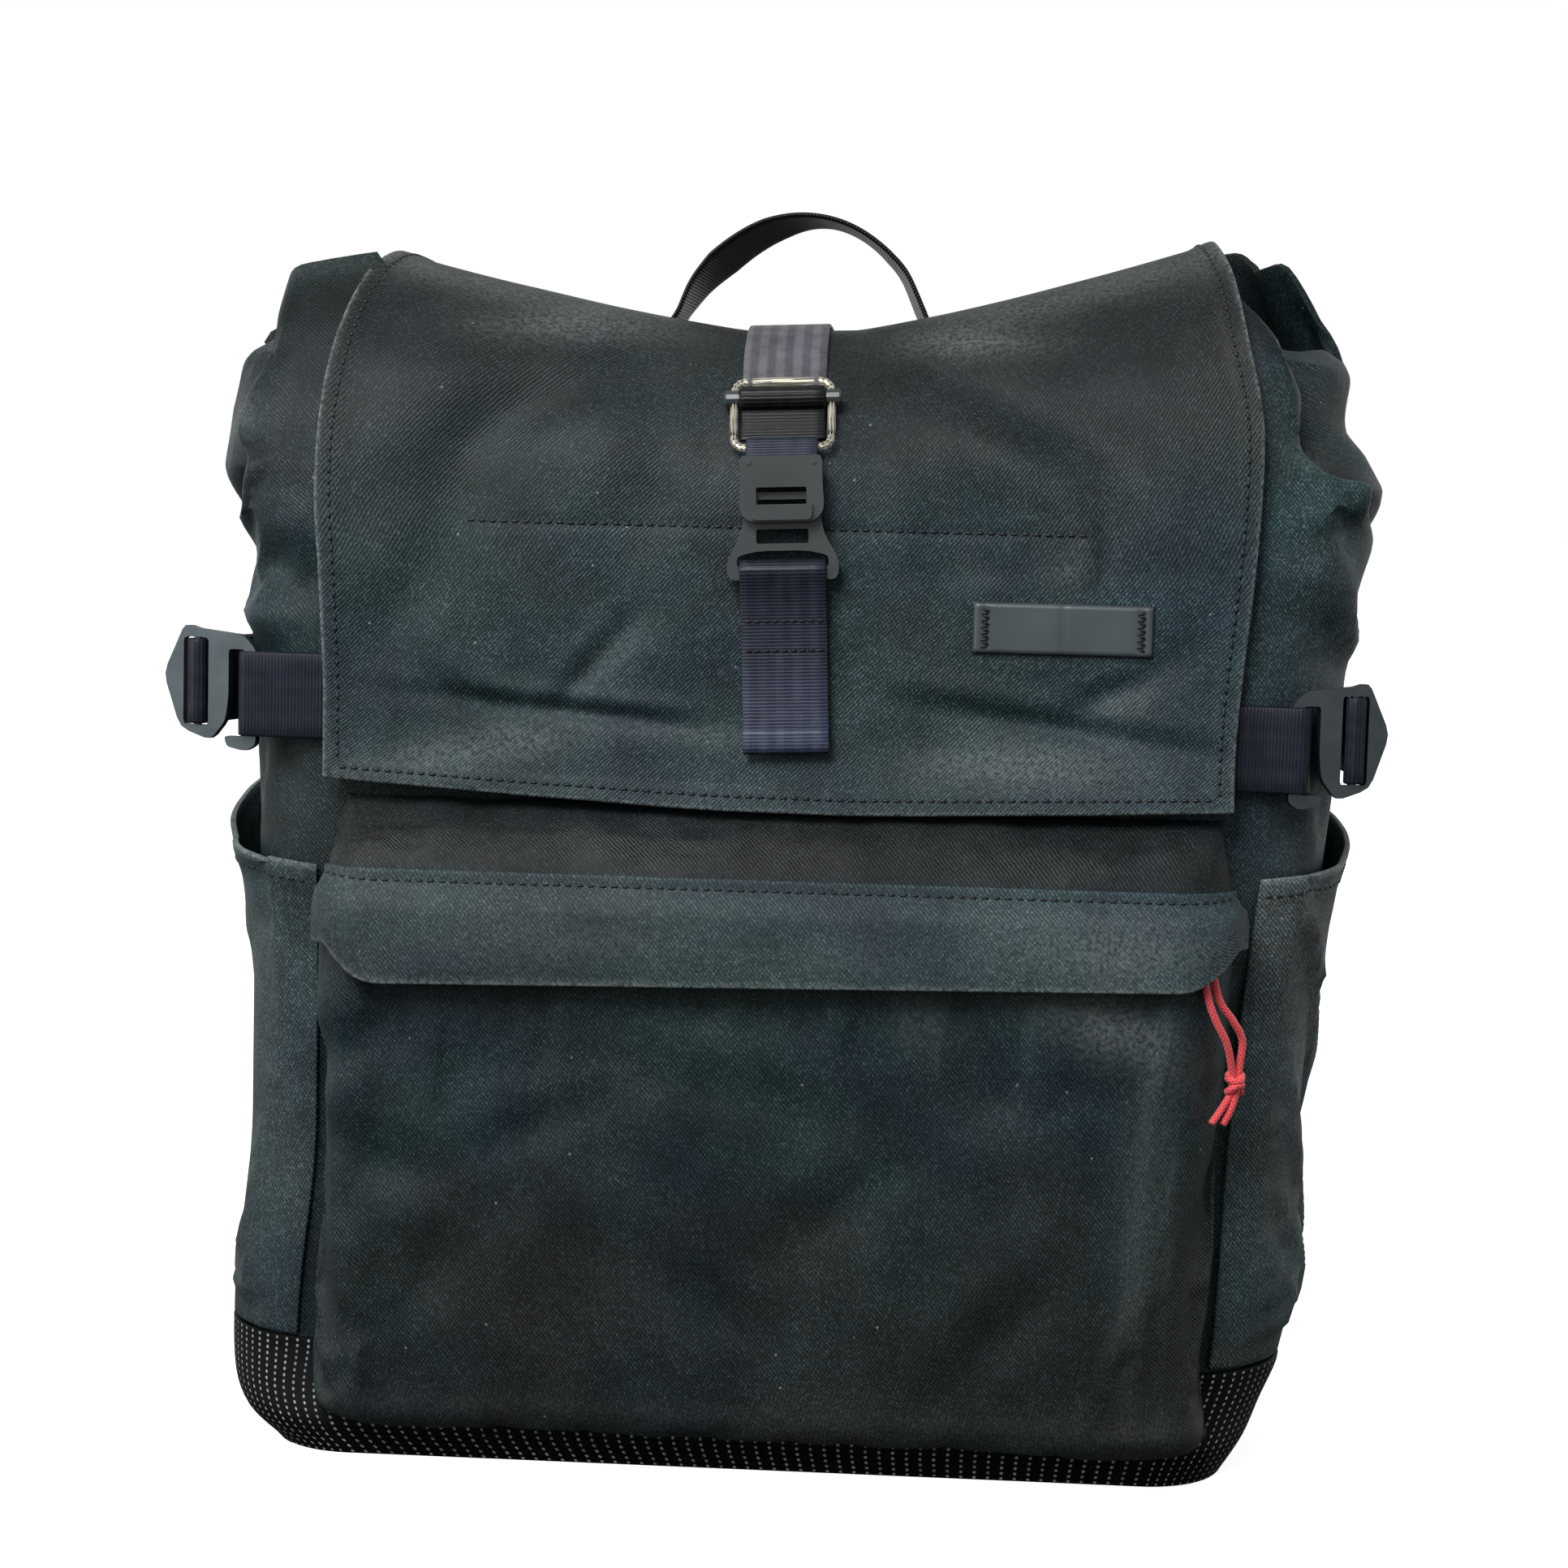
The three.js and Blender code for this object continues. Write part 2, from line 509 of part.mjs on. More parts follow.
function pocketSection({ z, left, right, depth, radius, bend }, outwards = 0) {
  const overBase = z < BASE_TOP + CANVAS;
  const rim = overBase ? rowAt(BODY_ROWS, 'z', z).front - 2 * GAP - CANVAS : FRONT - GAP;
  const ends = { '-1': { half: left, round: radius }, 1: { half: right, round: bend } };
  const centre = (side) => {
    const { half, round } = ends[side];
    return { x: side * (half - round), y: FRONT - depth + round };
  };
  const corner = (side) => spread(POCKET_ARC_STEPS, (t) => {
    const angle = rad(90 * (side < 0 ? 1 - t : t));
    const { x, y } = centre(side);
    const reach = ends[side].round + outwards;
    return vec(x + side * reach * Math.sin(angle), y - reach * Math.cos(angle), z);
  });
  const gusset = (side) => spread(2, (t) => {
    const x = side * (ends[side].half + outwards);
    return vec(x, mix(rim, centre(side).y, t), z);
  }).slice(0, 2);
  const frontY = FRONT - depth - outwards;
  const front = spread(POCKET_FRONT_STEPS, (t) => vec(mix(centre(-1).x, centre(1).x, t), frontY, z));
  return [...gusset(-1), ...corner(-1), ...front.slice(1, -1), ...corner(1), ...gusset(1).reverse()];
}

const pocketOuter = POCKET_ROWS.map((row) => pocketSection(row));
const slotHigh = ZIP_SLOT.high - ZIP_SLOT.low;
const slotTool = new THREE.BoxGeometry(ZIP_SLOT.right - ZIP_SLOT.left, 40, slotHigh);
slotTool.translate((ZIP_SLOT.left + ZIP_SLOT.right) / 2, FRONT - 25, ZIP_SLOT.low + slotHigh / 2);
add('front_pocket', cut(clothWall(pocketOuter, offsetGrid(pocketOuter, -CANVAS)), slotTool), canvas);

function stormSection({ z, off, skew }, thick) {
  const section = pocketSection(rowAt(POCKET_ROWS.slice(3), 'z', z), off + thick).slice(3, -3);
  return section.map((p) => vec(p.x, p.y, p.z + (skew * p.x) / ZIP_SLOT.right));
}

add('storm_flap', clothWall(
  STORM_ROWS.map((row) => stormSection(row, POCKET_CANVAS)),
  STORM_ROWS.map((row) => stormSection(row, 0)),
), canvas);

// Side pockets: pouches offset from the body's side, open at a slanting mouth
const RIGHT_COLUMNS = { first: 1, count: ARC_STEPS * 2 + SIDE_STEPS - 1 };
const HALF_RING = ARC_STEPS * 2 + SIDE_STEPS + WIDE_STEPS;

function sidePocketGrid({ side, mouthFront, mouthRear, bulge, swell }, thick) {
  const first = RIGHT_COLUMNS.first + (side < 0 ? HALF_RING : 0);
  const mouthZ = (share) => mix(mouthFront, mouthRear, side > 0 ? share : 1 - share);
  const rows = SWELL_HEIGHTS.map((z, i) => ({ heightAt: () => z, swell: swell[i] }));
  rows.push({ heightAt: mouthZ, swell: 1 });
  return rows.map((row) => spread(RIGHT_COLUMNS.count - 1, (share) => {
    const column = first + Math.round(share * (RIGHT_COLUMNS.count - 1));
    const { point, normal } = bodyRing(row.heightAt(share))[column];
    const out = bulge * row.swell * Math.sin(Math.PI * share) ** 0.8;
    return point.addScaledVector(normal, GAP + out + thick);
  }));
}

// Side straps: a loop of webbing from under the lid holds the hook's bar, a rear strap its slot
function loopAround(centre, radius, from, to, steps, place) {
  return spread(steps, (t) => {
    const angle = rad(mix(from, to, t));
    return place(centre[0] + radius * Math.cos(angle), centre[1] + radius * Math.sin(angle));
  });
}

function hookGeometry() {
  const outline = roundedOutline([
    [28, 2, 3], [22.6, -14, 3], [12.8, -17.4, 2], [7.9, -11.4, 2], [7, -4.4, 2], [7, 9.8, 1],
    [HOOK.barHalf, 9.8, 1], [HOOK.barHalf, -16, 0.8], [8.2, -16, 0.6], [7.6, -19, 1.2], [1, -20.4, 2],
    [-HOOK.barHalf, -18, 1], [-HOOK.barHalf, 9.6, 1.5], [2, 14, 2], [17, 15.6, 1], [21.2, 17, 2],
  ]);
  const { slotX, slotHalf, slotHeight } = HOOK;
  outline.holes.push(roundedOutline(
    rectangle(slotX - slotHalf, slotX + slotHalf, -slotHeight, slotHeight, 1.2), new THREE.Path(),
  ));
  const body = plate(outline, HOOK.plate, 2).translate(0, 0, -HOOK.plate / 2);
  const bar = new THREE.CylinderGeometry(1.3, 1.3, slotHeight * 2 + 2, 8).translate(slotX, 0, 0);
  return joined(body, bar);
}

function addSide(name) {
  const hung = SIDES[name];
  const { side, strapZ } = hung;
  add(`side_pocket_${name}`, clothWall(sidePocketGrid(hung, POCKET_CANVAS), sidePocketGrid(hung, 0)), canvas);

  const row = rowAt(BODY_ROWS, 'z', strapZ + HOOK.aboveStrap + WEB_WIDTH / 2);
  const cornerX = (side > 0 ? row.right : row.left) - row.radius;
  const flat = (z) => (x, y) => vec(side * x, y, z);
  const bar = [cornerX + hung.bar.fromCorner, hung.bar.y];
  const away = new THREE.Vector2(Math.cos(rad(HOOK.turn)), Math.sin(rad(HOOK.turn)));
  const up = vec(0, 0, 1);

  const front = flat(strapZ);
  const loopRadius = 3.35;
  const underLid = cornerX - 16;
  const tangent = 90 + HOOK.turn;
  add(`side_loop_${name}`, band([
    front(underLid, FRONT - LAID - 0.2), front(cornerX + 2, FRONT - LAID - 0.3),
    ...loopAround(bar, loopRadius, tangent, tangent - 180, 6, front),
    front(cornerX + 4, FRONT - LAID - 2.1), front(underLid, FRONT - LAID - 2.1),
  ], up, WEB_WIDTH, WEB), webbing);

  const hookZ = strapZ + HOOK.aboveStrap;
  const holder = new THREE.Group();
  const outwards = vec(side * away.x, away.y, 0);
  holder.matrix.makeBasis(outwards, up, outwards.clone().cross(up)).setPosition(side * bar[0], bar[1], hookZ);
  holder.matrix.decompose(holder.position, holder.quaternion, holder.scale);
  bag.add(holder);
  add(`hook_${name}`, hookGeometry(), gunmetal, holder);

  const rear = flat(hookZ);
  const slot = [bar[0] + HOOK.slotX * away.x, bar[1] + HOOK.slotX * away.y];
  const rearCorner = [cornerX, BACK - row.radius];
  const sideX = cornerX + row.radius + LAID;
  add(`side_strap_${name}`, band([
    ...loopAround(rearCorner, row.radius + LAID, 67.5, 0, 3, rear),
    ...hung.run.map(([out, y]) => rear(sideX + out, y)),
    ...loopAround(slot, 2.3, 10, -190, 7, rear),
    ...hung.turn.map(([out, y]) => rear(sideX + out, y)),
  ], up, WEB_WIDTH - 1, WEB), webbing);
}

addSide('right');
addSide('left');

// Closure strap: over the lid, under the slider's top wire, round its bar and down again
const onSlope = ({ y, z, tilt }, up, out = 0) => [
  y + up * Math.cos(rad(tilt)) - out * Math.sin(rad(tilt)),
  z + up * Math.sin(rad(tilt)) + out * Math.cos(rad(tilt)),
];
const lidMiddle = LID_ROWS.map((row) => lidPoint(row, 0));
const aboveLid = lidMiddle.map((p, i) => {
  const before = lidMiddle[Math.max(i - 1, 0)];
  const after = lidMiddle[Math.min(i + 1, lidMiddle.length - 1)];
  const normal = after.clone().sub(before).cross(vec(1, 0, 0)).normalize();
  return p.clone().addScaledVector(normal, LAID + 0.1);
});
const [OVER_BACK, OVER_FRONT] = [1, 8];
const barCentre = onSlope(SLIDER, SLIDER_BAR.up);
const wrap = SLIDER_BAR.radius + GAP + WEB / 2;
add('closure_strap', band([
  ...aboveLid.slice(OVER_BACK, OVER_FRONT),
  vec(0, -47.4, 316.2),
  ...loopAround(barCentre, wrap, 58, 255, 9, (y, z) => vec(0, y, z)),
  vec(0, -55.5, 306), vec(0, -57.4, 302.4),
], vec(1, 0, 0), WEB_WIDTH, WEB), webbing, closure);

// Slider: a steel wire frame and the black bar that runs on its side wires
function wireFrame({ halfWidth, halfLength, corner, wire }) {
  const path = new THREE.Path();
  roundedOutline(rectangle(-halfWidth, halfWidth, -halfLength, halfLength, corner), path);
  const points = path.getPoints(4).slice(0, -1);
  const kept = points.filter((p, i) => p.distanceTo(points.at(i - 1)) > 0.05);
  const sections = kept.map((p, i) => {
    const normal = kept[(i + 1) % kept.length].clone().sub(kept.at(i - 1)).normalize();
    return spread(7, (t) => {
      const angle = (2 * Math.PI * t * 7) / 8;
      const reach = wire * Math.cos(angle);
      return vec(p.x + normal.y * reach, p.y - normal.x * reach, wire * Math.sin(angle));
    });
  });
  return sweptBody(sections, true);
}

const slider = slopeGroup(SLIDER);
add('slider_frame', wireFrame(SLIDER), steel, slider);

const { radius: barRadius, boss, bossFrom, halfLength: barHalf } = SLIDER_BAR;
const barProfile = [
  [0, -barHalf], [boss - 0.6, -barHalf], [boss, -barHalf + 0.6], [boss, -bossFrom], [barRadius, -bossFrom],
  [barRadius, bossFrom], [boss, bossFrom], [boss, barHalf - 0.6], [boss - 0.6, barHalf], [0, barHalf],
].map(([x, y]) => new THREE.Vector2(x, y));
const barBlank = new THREE.LatheGeometry(barProfile, 12).rotateZ(Math.PI / 2);
const holeRadius = SLIDER.wire + 0.3;
const wireHole = (side) =>
  new THREE.CylinderGeometry(holeRadius, holeRadius, 12, 12).translate(side * SLIDER.halfWidth, 0, 0);
const sliderBar = cut(barBlank, wireHole(-1), wireHole(1)).translate(0, SLIDER_BAR.up, 0);
add('slider_bar', sliderBar, plastic, slider);

// Clip buckle: the upper half hangs on the slider by a bar behind its thin top cover, and lies over the
// flared lower half. Its window shows the lower half's tongue. The raised lip below the window opens it.
const buckle = slopeGroup(BUCKLE);
const { half, plate: thick } = BUCKLE;
const UPPER_BACK = -1.2;
const LOWER_BACK = -1.5 - thick;
const hole = (...sizes) => roundedOutline(rectangle(...sizes), new THREE.Path());
const upper = roundedOutline([
  [-half, -4.6, 0.4], [-half - 0.4, -10.4, 1.5], [-half, -13.4, 1.5], [-9, -15.8, 1.5],
  [9, -15.8, 1.5], [half, -13.4, 1.5], [half + 0.4, -10.4, 1.5], [half, -4.6, 0.4],
]);
upper.holes.push(hole(-7.2, 7.2, -10.8, -5.9, 0.5));
const cover = roundedOutline([
  [-half, -5.6, 0.2], [half, -5.6, 0.2], [half - 0.3, 3.2, 0.8], [0.3 - half, 3.2, 0.8],
]);
const lip = roundedOutline([
  [-8.8, -10.6, 0.5], [-8.8, -15.4, 1.4], [8.8, -15.4, 1.4], [8.8, -10.6, 0.5],
  [7.6, -10.6, 0.5], [7, -12.2, 0.8], [-7, -12.2, 0.8], [-7.6, -10.6, 0.5],
]);
const ejectorMark = (x, y) =>
  new THREE.CylinderGeometry(0.8, 0.8, 0.7, 7).rotateX(Math.PI / 2).translate(x, y, thick);
const cheek = (side) => new THREE.BoxGeometry(0.9, 7.8, 6.6).translate(side * (half - 0.45), -2.1, -0.3);
const hangingBar = new THREE.CylinderGeometry(1.3, 1.3, 2 * half - 0.2, 8).rotateZ(Math.PI / 2);
add('buckle_upper', joined(
  plate(upper, thick, 2),
  plate(cover, 0.9, 2).translate(0, 0, thick - 0.9),
  plate(lip, 1.6, 2).translate(0, 0, thick - 0.2),
  cheek(-1), cheek(1), hangingBar.translate(0, 0, BUCKLE.topBar - UPPER_BACK),
  ejectorMark(-9.3, 1.2), ejectorMark(9.3, 1.2),
).translate(0, 0, UPPER_BACK), plastic, buckle);

const bottom = BUCKLE.bottomBar;
const lower = roundedOutline([
  [-11, -7, 0.8], [-11.2, -15, 1.8], [-12, -19, 1.8], [-15.6, bottom + 4.4, 1.6], [-16.3, bottom + 1, 1.6],
  [-15.4, bottom - 2.6, 1.8], [-12.4, bottom - 2.2, 1], [-11, bottom - 1.5, 0.5],
  [11, bottom - 1.5, 0.5], [12.4, bottom - 2.2, 1], [15.4, bottom - 2.6, 1.8],
  [16.3, bottom + 1, 1.6], [15.6, bottom + 4.4, 1.6], [12, -19, 1.8], [11.2, -15, 1.8], [11, -7, 0.8],
]);
const arch = roundedOutline([
  [-13.2, bottom + 1.5, 0.8], [13.2, bottom + 1.5, 0.8], [13.2, bottom + 4.4, 1],
  [8, bottom + 6, 3.5], [-8, bottom + 6, 3.5], [-13.2, bottom + 4.4, 1],
], new THREE.Path());
lower.holes.push(arch, hole(-7.5, 7.5, -21.7, -17.6, 0.6), hole(-7, 7, -11.2, -9.1, 0.4));
add('buckle_lower', plate(lower, thick, 2).translate(0, 0, LOWER_BACK), plastic, buckle);

// Short loop that ties the slider's bottom wire to the buckle's top bar, and the pull strap below
const wireEnd = onSlope(SLIDER, -SLIDER.halfLength);
const topBar = onSlope(BUCKLE, 0, BUCKLE.topBar);
const lean = (Math.atan2(wireEnd[1] - topBar[1], wireEnd[0] - topBar[0]) * 180) / Math.PI;
const flatYZ = (y, z) => vec(0, y, z);
add('buckle_loop', band([
  ...loopAround(topBar, 3, lean - 100, lean - 270, 6, flatYZ),
  ...loopAround(wireEnd, 2.3, lean + 90, lean - 80, 6, flatYZ),
], vec(1, 0, 0), LOOP_WIDTH, WEB), webbing, closure);

const lowBar = onSlope(BUCKLE, bottom, LOWER_BACK + BUCKLE.plate / 2);
const sheetY = LID_ROWS.at(-4).midY;
add('pull_strap', band([
  vec(0, sheetY - LAID - 0.1, PULL_STRAP.backEnd), vec(0, sheetY - LAID - 0.1, lowBar[1] - 6),
  ...loopAround(lowBar, 3, 0, 180, 6, flatYZ),
  vec(0, sheetY - 5.2, lowBar[1] - 8), vec(0, sheetY - 4, 246),
  vec(0, sheetY - 3.9, 232), vec(0, sheetY - 4.6, PULL_STRAP.end),
], vec(1, 0, 0), WEB_WIDTH, WEB), webbing, closure);

// Bare label patch on the lid
const labelOutline = roundedOutline(rectangle(
  -LABEL.width / 2, LABEL.width / 2, -LABEL.height / 2, LABEL.height / 2, LABEL.corner,
));
const labelY = sheetY - GAP;
const labelPlate = plate(labelOutline, LABEL.thick).rotateX(Math.PI / 2);
add('label', labelPlate.translate(LABEL.x, labelY, LABEL.z), rubber);

// Grab handle: webbing sewn to the top of the lid by two tabs
const topRow = LID_ROWS[4];
const lidTop = (x) => lidPoint(topRow, x / (x < 0 ? topRow.left : topRow.right)).z;
const overLid = LAID + 0.3;
const archX = (t) => mix(HANDLE.left, HANDLE.right, t);
const archRise = (t) => Math.sin(Math.PI * t ** HANDLE.lean) ** HANDLE.power;
const archPath = spread(14, (t) => {
  const foot = lidTop(archX(Math.round(t))) + overLid + 1;
  return vec(archX(t), 0, mix(foot, HANDLE.top, archRise(t)));
}).slice(1, -1);
const tab = (from, to) => spread(3, (t) => vec(mix(from, to, t), 0, lidTop(mix(from, to, t)) + overLid));
const leftTab = tab(HANDLE.left - HANDLE.tab, HANDLE.left);
const rightTab = tab(HANDLE.right, HANDLE.right + HANDLE.tab);
const handlePath = [...leftTab, ...archPath, ...rightTab];
const handleY = (HANDLE.rearY + HANDLE.frontY) / 2;
const handleBand = band(handlePath, vec(0, 1, 0), HANDLE.rearY - HANDLE.frontY, WEB);
add('handle', handleBand.translate(0, handleY, 0), webbing);

// Shoulder straps: plain bowed pads with a webbing tail each
function addShoulder(name, side) {
  const pad = spread(12, (t) => ({
    centre: vec(
      side * (PAD.topX + PAD.spread * t ** 1.5),
      BACK + GAP + PAD.thick / 2 + PAD.bow * Math.sin(Math.PI * t) ** 1.2,
      mix(PAD.topZ, PAD.bottomZ, t),
    ),
    width: PAD.width * (1 - 0.3 * t ** 2),
  }));
  const sections = pad.map(({ centre, width }) => {
    const [half, deep, ease] = [width / 2, PAD.thick / 2, 3];
    const ring = [
      [-half + ease, -deep], [half - ease, -deep], [half, -deep + ease], [half, deep - ease],
      [half - ease, deep], [-half + ease, deep], [-half, deep - ease], [-half, -deep + ease],
    ];
    return ring.map(([x, y]) => vec(centre.x + x, centre.y + y, centre.z));
  });
  add(`shoulder_pad_${name}`, sweptBody(sections), foam);

  const webY = BACK + LAID;
  const startX = PAD.topX + PAD.spread;
  const run = spread(4, (t) => {
    const z = mix(PAD.bottomZ - 14, PAD_WEB.endZ, t);
    return vec(side * mix(startX, PAD_WEB.endX, t), webY, z);
  });
  const top = vec(side * startX, webY, PAD.bottomZ - 0.4);
  const across = vec(side, 0, 0.35).normalize();
  const tail = [top, ...run];
  const tailSections = tail.map((p, i) => {
    const wide = i === 0 ? vec(side, 0, 0) : across;
    const corner = (s, n) => p.clone()
      .addScaledVector(wide, (s * WEB_WIDTH) / 2)
      .add(vec(0, (n * WEB) / 2, 0));
    return [corner(-1, -1), corner(1, -1), corner(1, 1), corner(-1, 1)];
  });
  add(`shoulder_web_${name}`, sweptBody(tailSections), webbing);
}

addShoulder('right', 1);
addShoulder('left', -1);

// Zip slider in the right end of the slot, and the red cord tied to it
const slotRow = rowAt(POCKET_ROWS.slice(3), 'z', (ZIP_SLOT.low + ZIP_SLOT.high) / 2);
const bend = { x: slotRow.right - slotRow.bend, y: FRONT - slotRow.depth + slotRow.bend, angle: 30 };
const onBend = (reach, angle, z) =>
  vec(bend.x + reach * Math.sin(rad(angle)), bend.y - reach * Math.cos(rad(angle)), z);
const zipBlock = new THREE.BoxGeometry(7, 5, slotHigh - 0.6).rotateZ(rad(bend.angle));
const zipAt = onBend(slotRow.bend - 1.5, bend.angle, ZIP_SLOT.low + slotHigh / 2);
add('zip_slider', zipBlock.translate(zipAt.x, zipAt.y, zipAt.z), gunmetal);

function tube(points, steps) {
  const circle = new THREE.Shape();
  spread(CORD.sides - 1, (t) => (2 * Math.PI * t * (CORD.sides - 1)) / CORD.sides).forEach((angle, i) => {
    const place = [CORD.radius * Math.cos(angle), CORD.radius * Math.sin(angle)];
    if (i === 0) circle.moveTo(...place);
    else circle.lineTo(...place);
  });
  const extrudePath = new THREE.CatmullRomCurve3(points.map((p) => (Array.isArray(p) ? vec(...p) : p)));
  return new THREE.ExtrudeGeometry(circle, { steps, extrudePath, bevelEnabled: false, curveSegments: 1 });
}

const KNOT = { x: 131.2, y: -78, z: 122.6, wide: 3.3, high: 4.4 };
const cordTop = ZIP_SLOT.low - 0.2;
add('pull_strand_left', tube([
  onBend(slotRow.bend + 1.7, 27, cordTop), [121, -83.6, 153], [122.7, -83.5, 146], [125, -83, 140.5],
  [128, -81.6, 134.8], [129.9, -79.4, KNOT.z + KNOT.high + 0.8],
], 12), cord);
add('pull_strand_right', tube([
  onBend(slotRow.bend + 1.7, 35, cordTop), [123.8, -82, 153], [126, -80.9, 146], [130, -79.6, 140.5],
  [132.9, -77.8, 134.8], [132.4, -77.8, KNOT.z + KNOT.high + 0.8],
], 12), cord);
const knotBall = new THREE.SphereGeometry(1, 10, 8).scale(KNOT.wide, KNOT.wide, KNOT.high);
add('pull_knot', joined(
  knotBall.translate(KNOT.x, KNOT.y, KNOT.z),
  tube([[130.4, KNOT.y, KNOT.z - 2], [127.8, -79.6, 115.6], [124.6, -81.8, 111.2]], 4),
  tube([[131.8, KNOT.y, KNOT.z - 2], [130.4, -78.6, 115.2], [128, -79.6, 110.6]], 4),
), cord);

export default bag;
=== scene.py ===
import math

import bmesh
import bpy
import numpy as np
from mathutils import Matrix, Vector, noise


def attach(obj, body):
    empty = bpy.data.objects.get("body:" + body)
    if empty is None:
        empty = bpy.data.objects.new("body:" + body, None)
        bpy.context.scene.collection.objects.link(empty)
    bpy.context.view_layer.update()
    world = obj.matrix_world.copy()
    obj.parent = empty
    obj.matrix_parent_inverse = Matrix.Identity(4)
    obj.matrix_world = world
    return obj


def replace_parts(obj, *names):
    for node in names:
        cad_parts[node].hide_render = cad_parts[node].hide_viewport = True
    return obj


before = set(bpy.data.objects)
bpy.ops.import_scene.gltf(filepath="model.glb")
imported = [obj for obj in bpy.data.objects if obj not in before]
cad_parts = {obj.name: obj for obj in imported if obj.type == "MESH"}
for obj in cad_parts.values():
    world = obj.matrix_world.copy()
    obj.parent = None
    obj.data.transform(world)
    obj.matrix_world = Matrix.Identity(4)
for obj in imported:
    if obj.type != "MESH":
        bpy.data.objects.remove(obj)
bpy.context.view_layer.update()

# Camera
# A phone held in front of the bag, a little to its right, looking slightly down and not quite level.
# Its focal length, 3600 pixels of a 1932 pixel frame, gives the bag little perspective.
PHOTO_PIXELS, FOCAL_PIXELS, SENSOR = 1932, 3600, 36.0
CAMERA_ASIDE, CAMERA_AWAY, CAMERA_HEIGHT = -0.004, 0.909, 0.277
camera_data = bpy.data.cameras.new("photo_camera")
camera_data.sensor_width = SENSOR
camera_data.lens = SENSOR * FOCAL_PIXELS / PHOTO_PIXELS
camera = bpy.data.objects.new("photo_camera", camera_data)
bpy.context.collection.objects.link(camera)
turned, look_down, roll = math.radians(3.0), math.radians(5.0), math.radians(1.5)
camera.matrix_world = (
    Matrix.Rotation(turned, 4, "Z")
    @ Matrix.Translation((CAMERA_ASIDE, -CAMERA_AWAY, CAMERA_HEIGHT))
    @ Matrix.Rotation(math.pi / 2 - look_down, 4, "X")
    @ Matrix.Rotation(roll, 4, "Z")
)
bpy.context.scene.camera = camera

# Pull cord
# Two ends of one red braided polyester cord, 2.2 mm thick, looped through the zip slider.
# They are tied in a round knot and cut off bare below it. Made as swept tubes, in millimetres.
MM = 0.001
CORD_RADIUS, STRAND_WIDE = 1.1, 1.0


def srgb(code):
    """The linear colour of an sRGB hex value."""
    parts = [int(code[i : i + 2], 16) / 255 for i in (1, 3, 5)]
    return (*[c / 12.92 if c <= 0.04045 else ((c + 0.055) / 1.055) ** 2.4 for c in parts], 1.0)


def add_node(tree, kind, settings=None, links=None):
    """Adds a shader node, sets its properties and input values, and links its inputs."""
    node = tree.nodes.new("ShaderNode" + kind)
    for name, value in (settings or {}).items():
        if isinstance(name, str) and hasattr(node, name):
            setattr(node, name, value)
        else:
            node.inputs[name].default_value = value
    for name, source in (links or {}).items():
        tree.links.new(source, node.inputs[name])
    return node


def new_material(name):
    """An empty material, its node tree and its output's surface socket."""
    material = bpy.data.materials.new(name)
    material.use_nodes = True
    material.node_tree.nodes.clear()
    output = add_node(material.node_tree, "OutputMaterial")
    return material, material.node_tree, output.inputs["Surface"]


def distance_along(points):
    """Distance of each point of a line from its first point."""
    return np.concatenate([[0], np.cumsum(np.linalg.norm(np.diff(points, axis=0), axis=1))])


def spline(a, b, c, d, t):
    """A smooth curve from b to c, led by the points a before and d after them."""
    square, cube = 2 * a - 5 * b + 4 * c - d, 3 * b - a - 3 * c + d
    return 0.5 * (2 * b + (c - a) * t + square * t**2 + cube * t**3)


def smooth_path(points, step):
    """Points every step millimetres along one smooth curve through the given points."""
    p = np.array(points, float)
    p = np.vstack([2 * p[0] - p[1], p, 2 * p[-1] - p[-2]])
    t = np.linspace(0, 1, 40, endpoint=False)[:, None]
    dense = []
    for a, b, c, d in zip(p, p[1:], p[2:], p[3:]):
        dense.append(spline(a, b, c, d, t))
    dense = np.vstack(dense + [p[-2][None]])
    run = distance_along(dense)
    at = np.linspace(0, run[-1], max(2, int(round(run[-1] / step)) + 1))
    return np.stack([np.interp(at, run, dense[:, k]) for k in range(3)], axis=1)


def grid_piece(name, points, uv, material, around=False, capped=False, marks=None):
    """A mesh from a grid of points and cloth coordinates, both in millimetres.
    Columns may close round, the first and last row may be capped, and marks are named values per point."""
    rows, columns = points.shape[:2]
    index = np.arange(rows * columns).reshape(rows, columns)
    across = index if not around else np.hstack([index, index[:, :1]])
    corners = [across[:-1, :-1], across[:-1, 1:], across[1:, 1:], across[1:, :-1]]
    quads = np.stack(corners, axis=-1).reshape(-1, 4)
    faces = quads.tolist()
    if capped:
        faces += [index[0][::-1].tolist(), index[-1].tolist()]
    mesh = bpy.data.meshes.new(name)
    mesh.from_pydata((points.reshape(-1, 3) * MM).tolist(), [], faces)
    flat_uv = uv.reshape(-1, 2).copy() * MM
    layer = mesh.uv_layers.new(name="cloth")
    corner = np.zeros(len(mesh.loops), int)
    mesh.loops.foreach_get("vertex_index", corner)
    loop_uv = flat_uv[corner]
    if around:
        seam = np.arange(rows - 1) * columns + columns - 1
        wide = (uv[:, -1, 0] + uv[:, 1, 0] - uv[:, 0, 0]) * MM
        quad_uv = loop_uv[: len(quads) * 4].reshape(-1, 4, 2)
        quad_uv[seam, 1, 0] = wide[:-1]
        quad_uv[seam, 2, 0] = wide[1:]
    layer.data.foreach_set("uv", loop_uv.ravel())
    for mark, values in (marks or {}).items():
        spread = np.broadcast_to(values, points.shape[:2]).ravel()
        mesh.attributes.new(mark, "FLOAT", "POINT").data.foreach_set("value", spread)
    mesh.shade_smooth()
    piece = bpy.data.objects.new(name, mesh)
    bpy.context.collection.objects.link(piece)
    mesh.materials.append(material)
    return piece


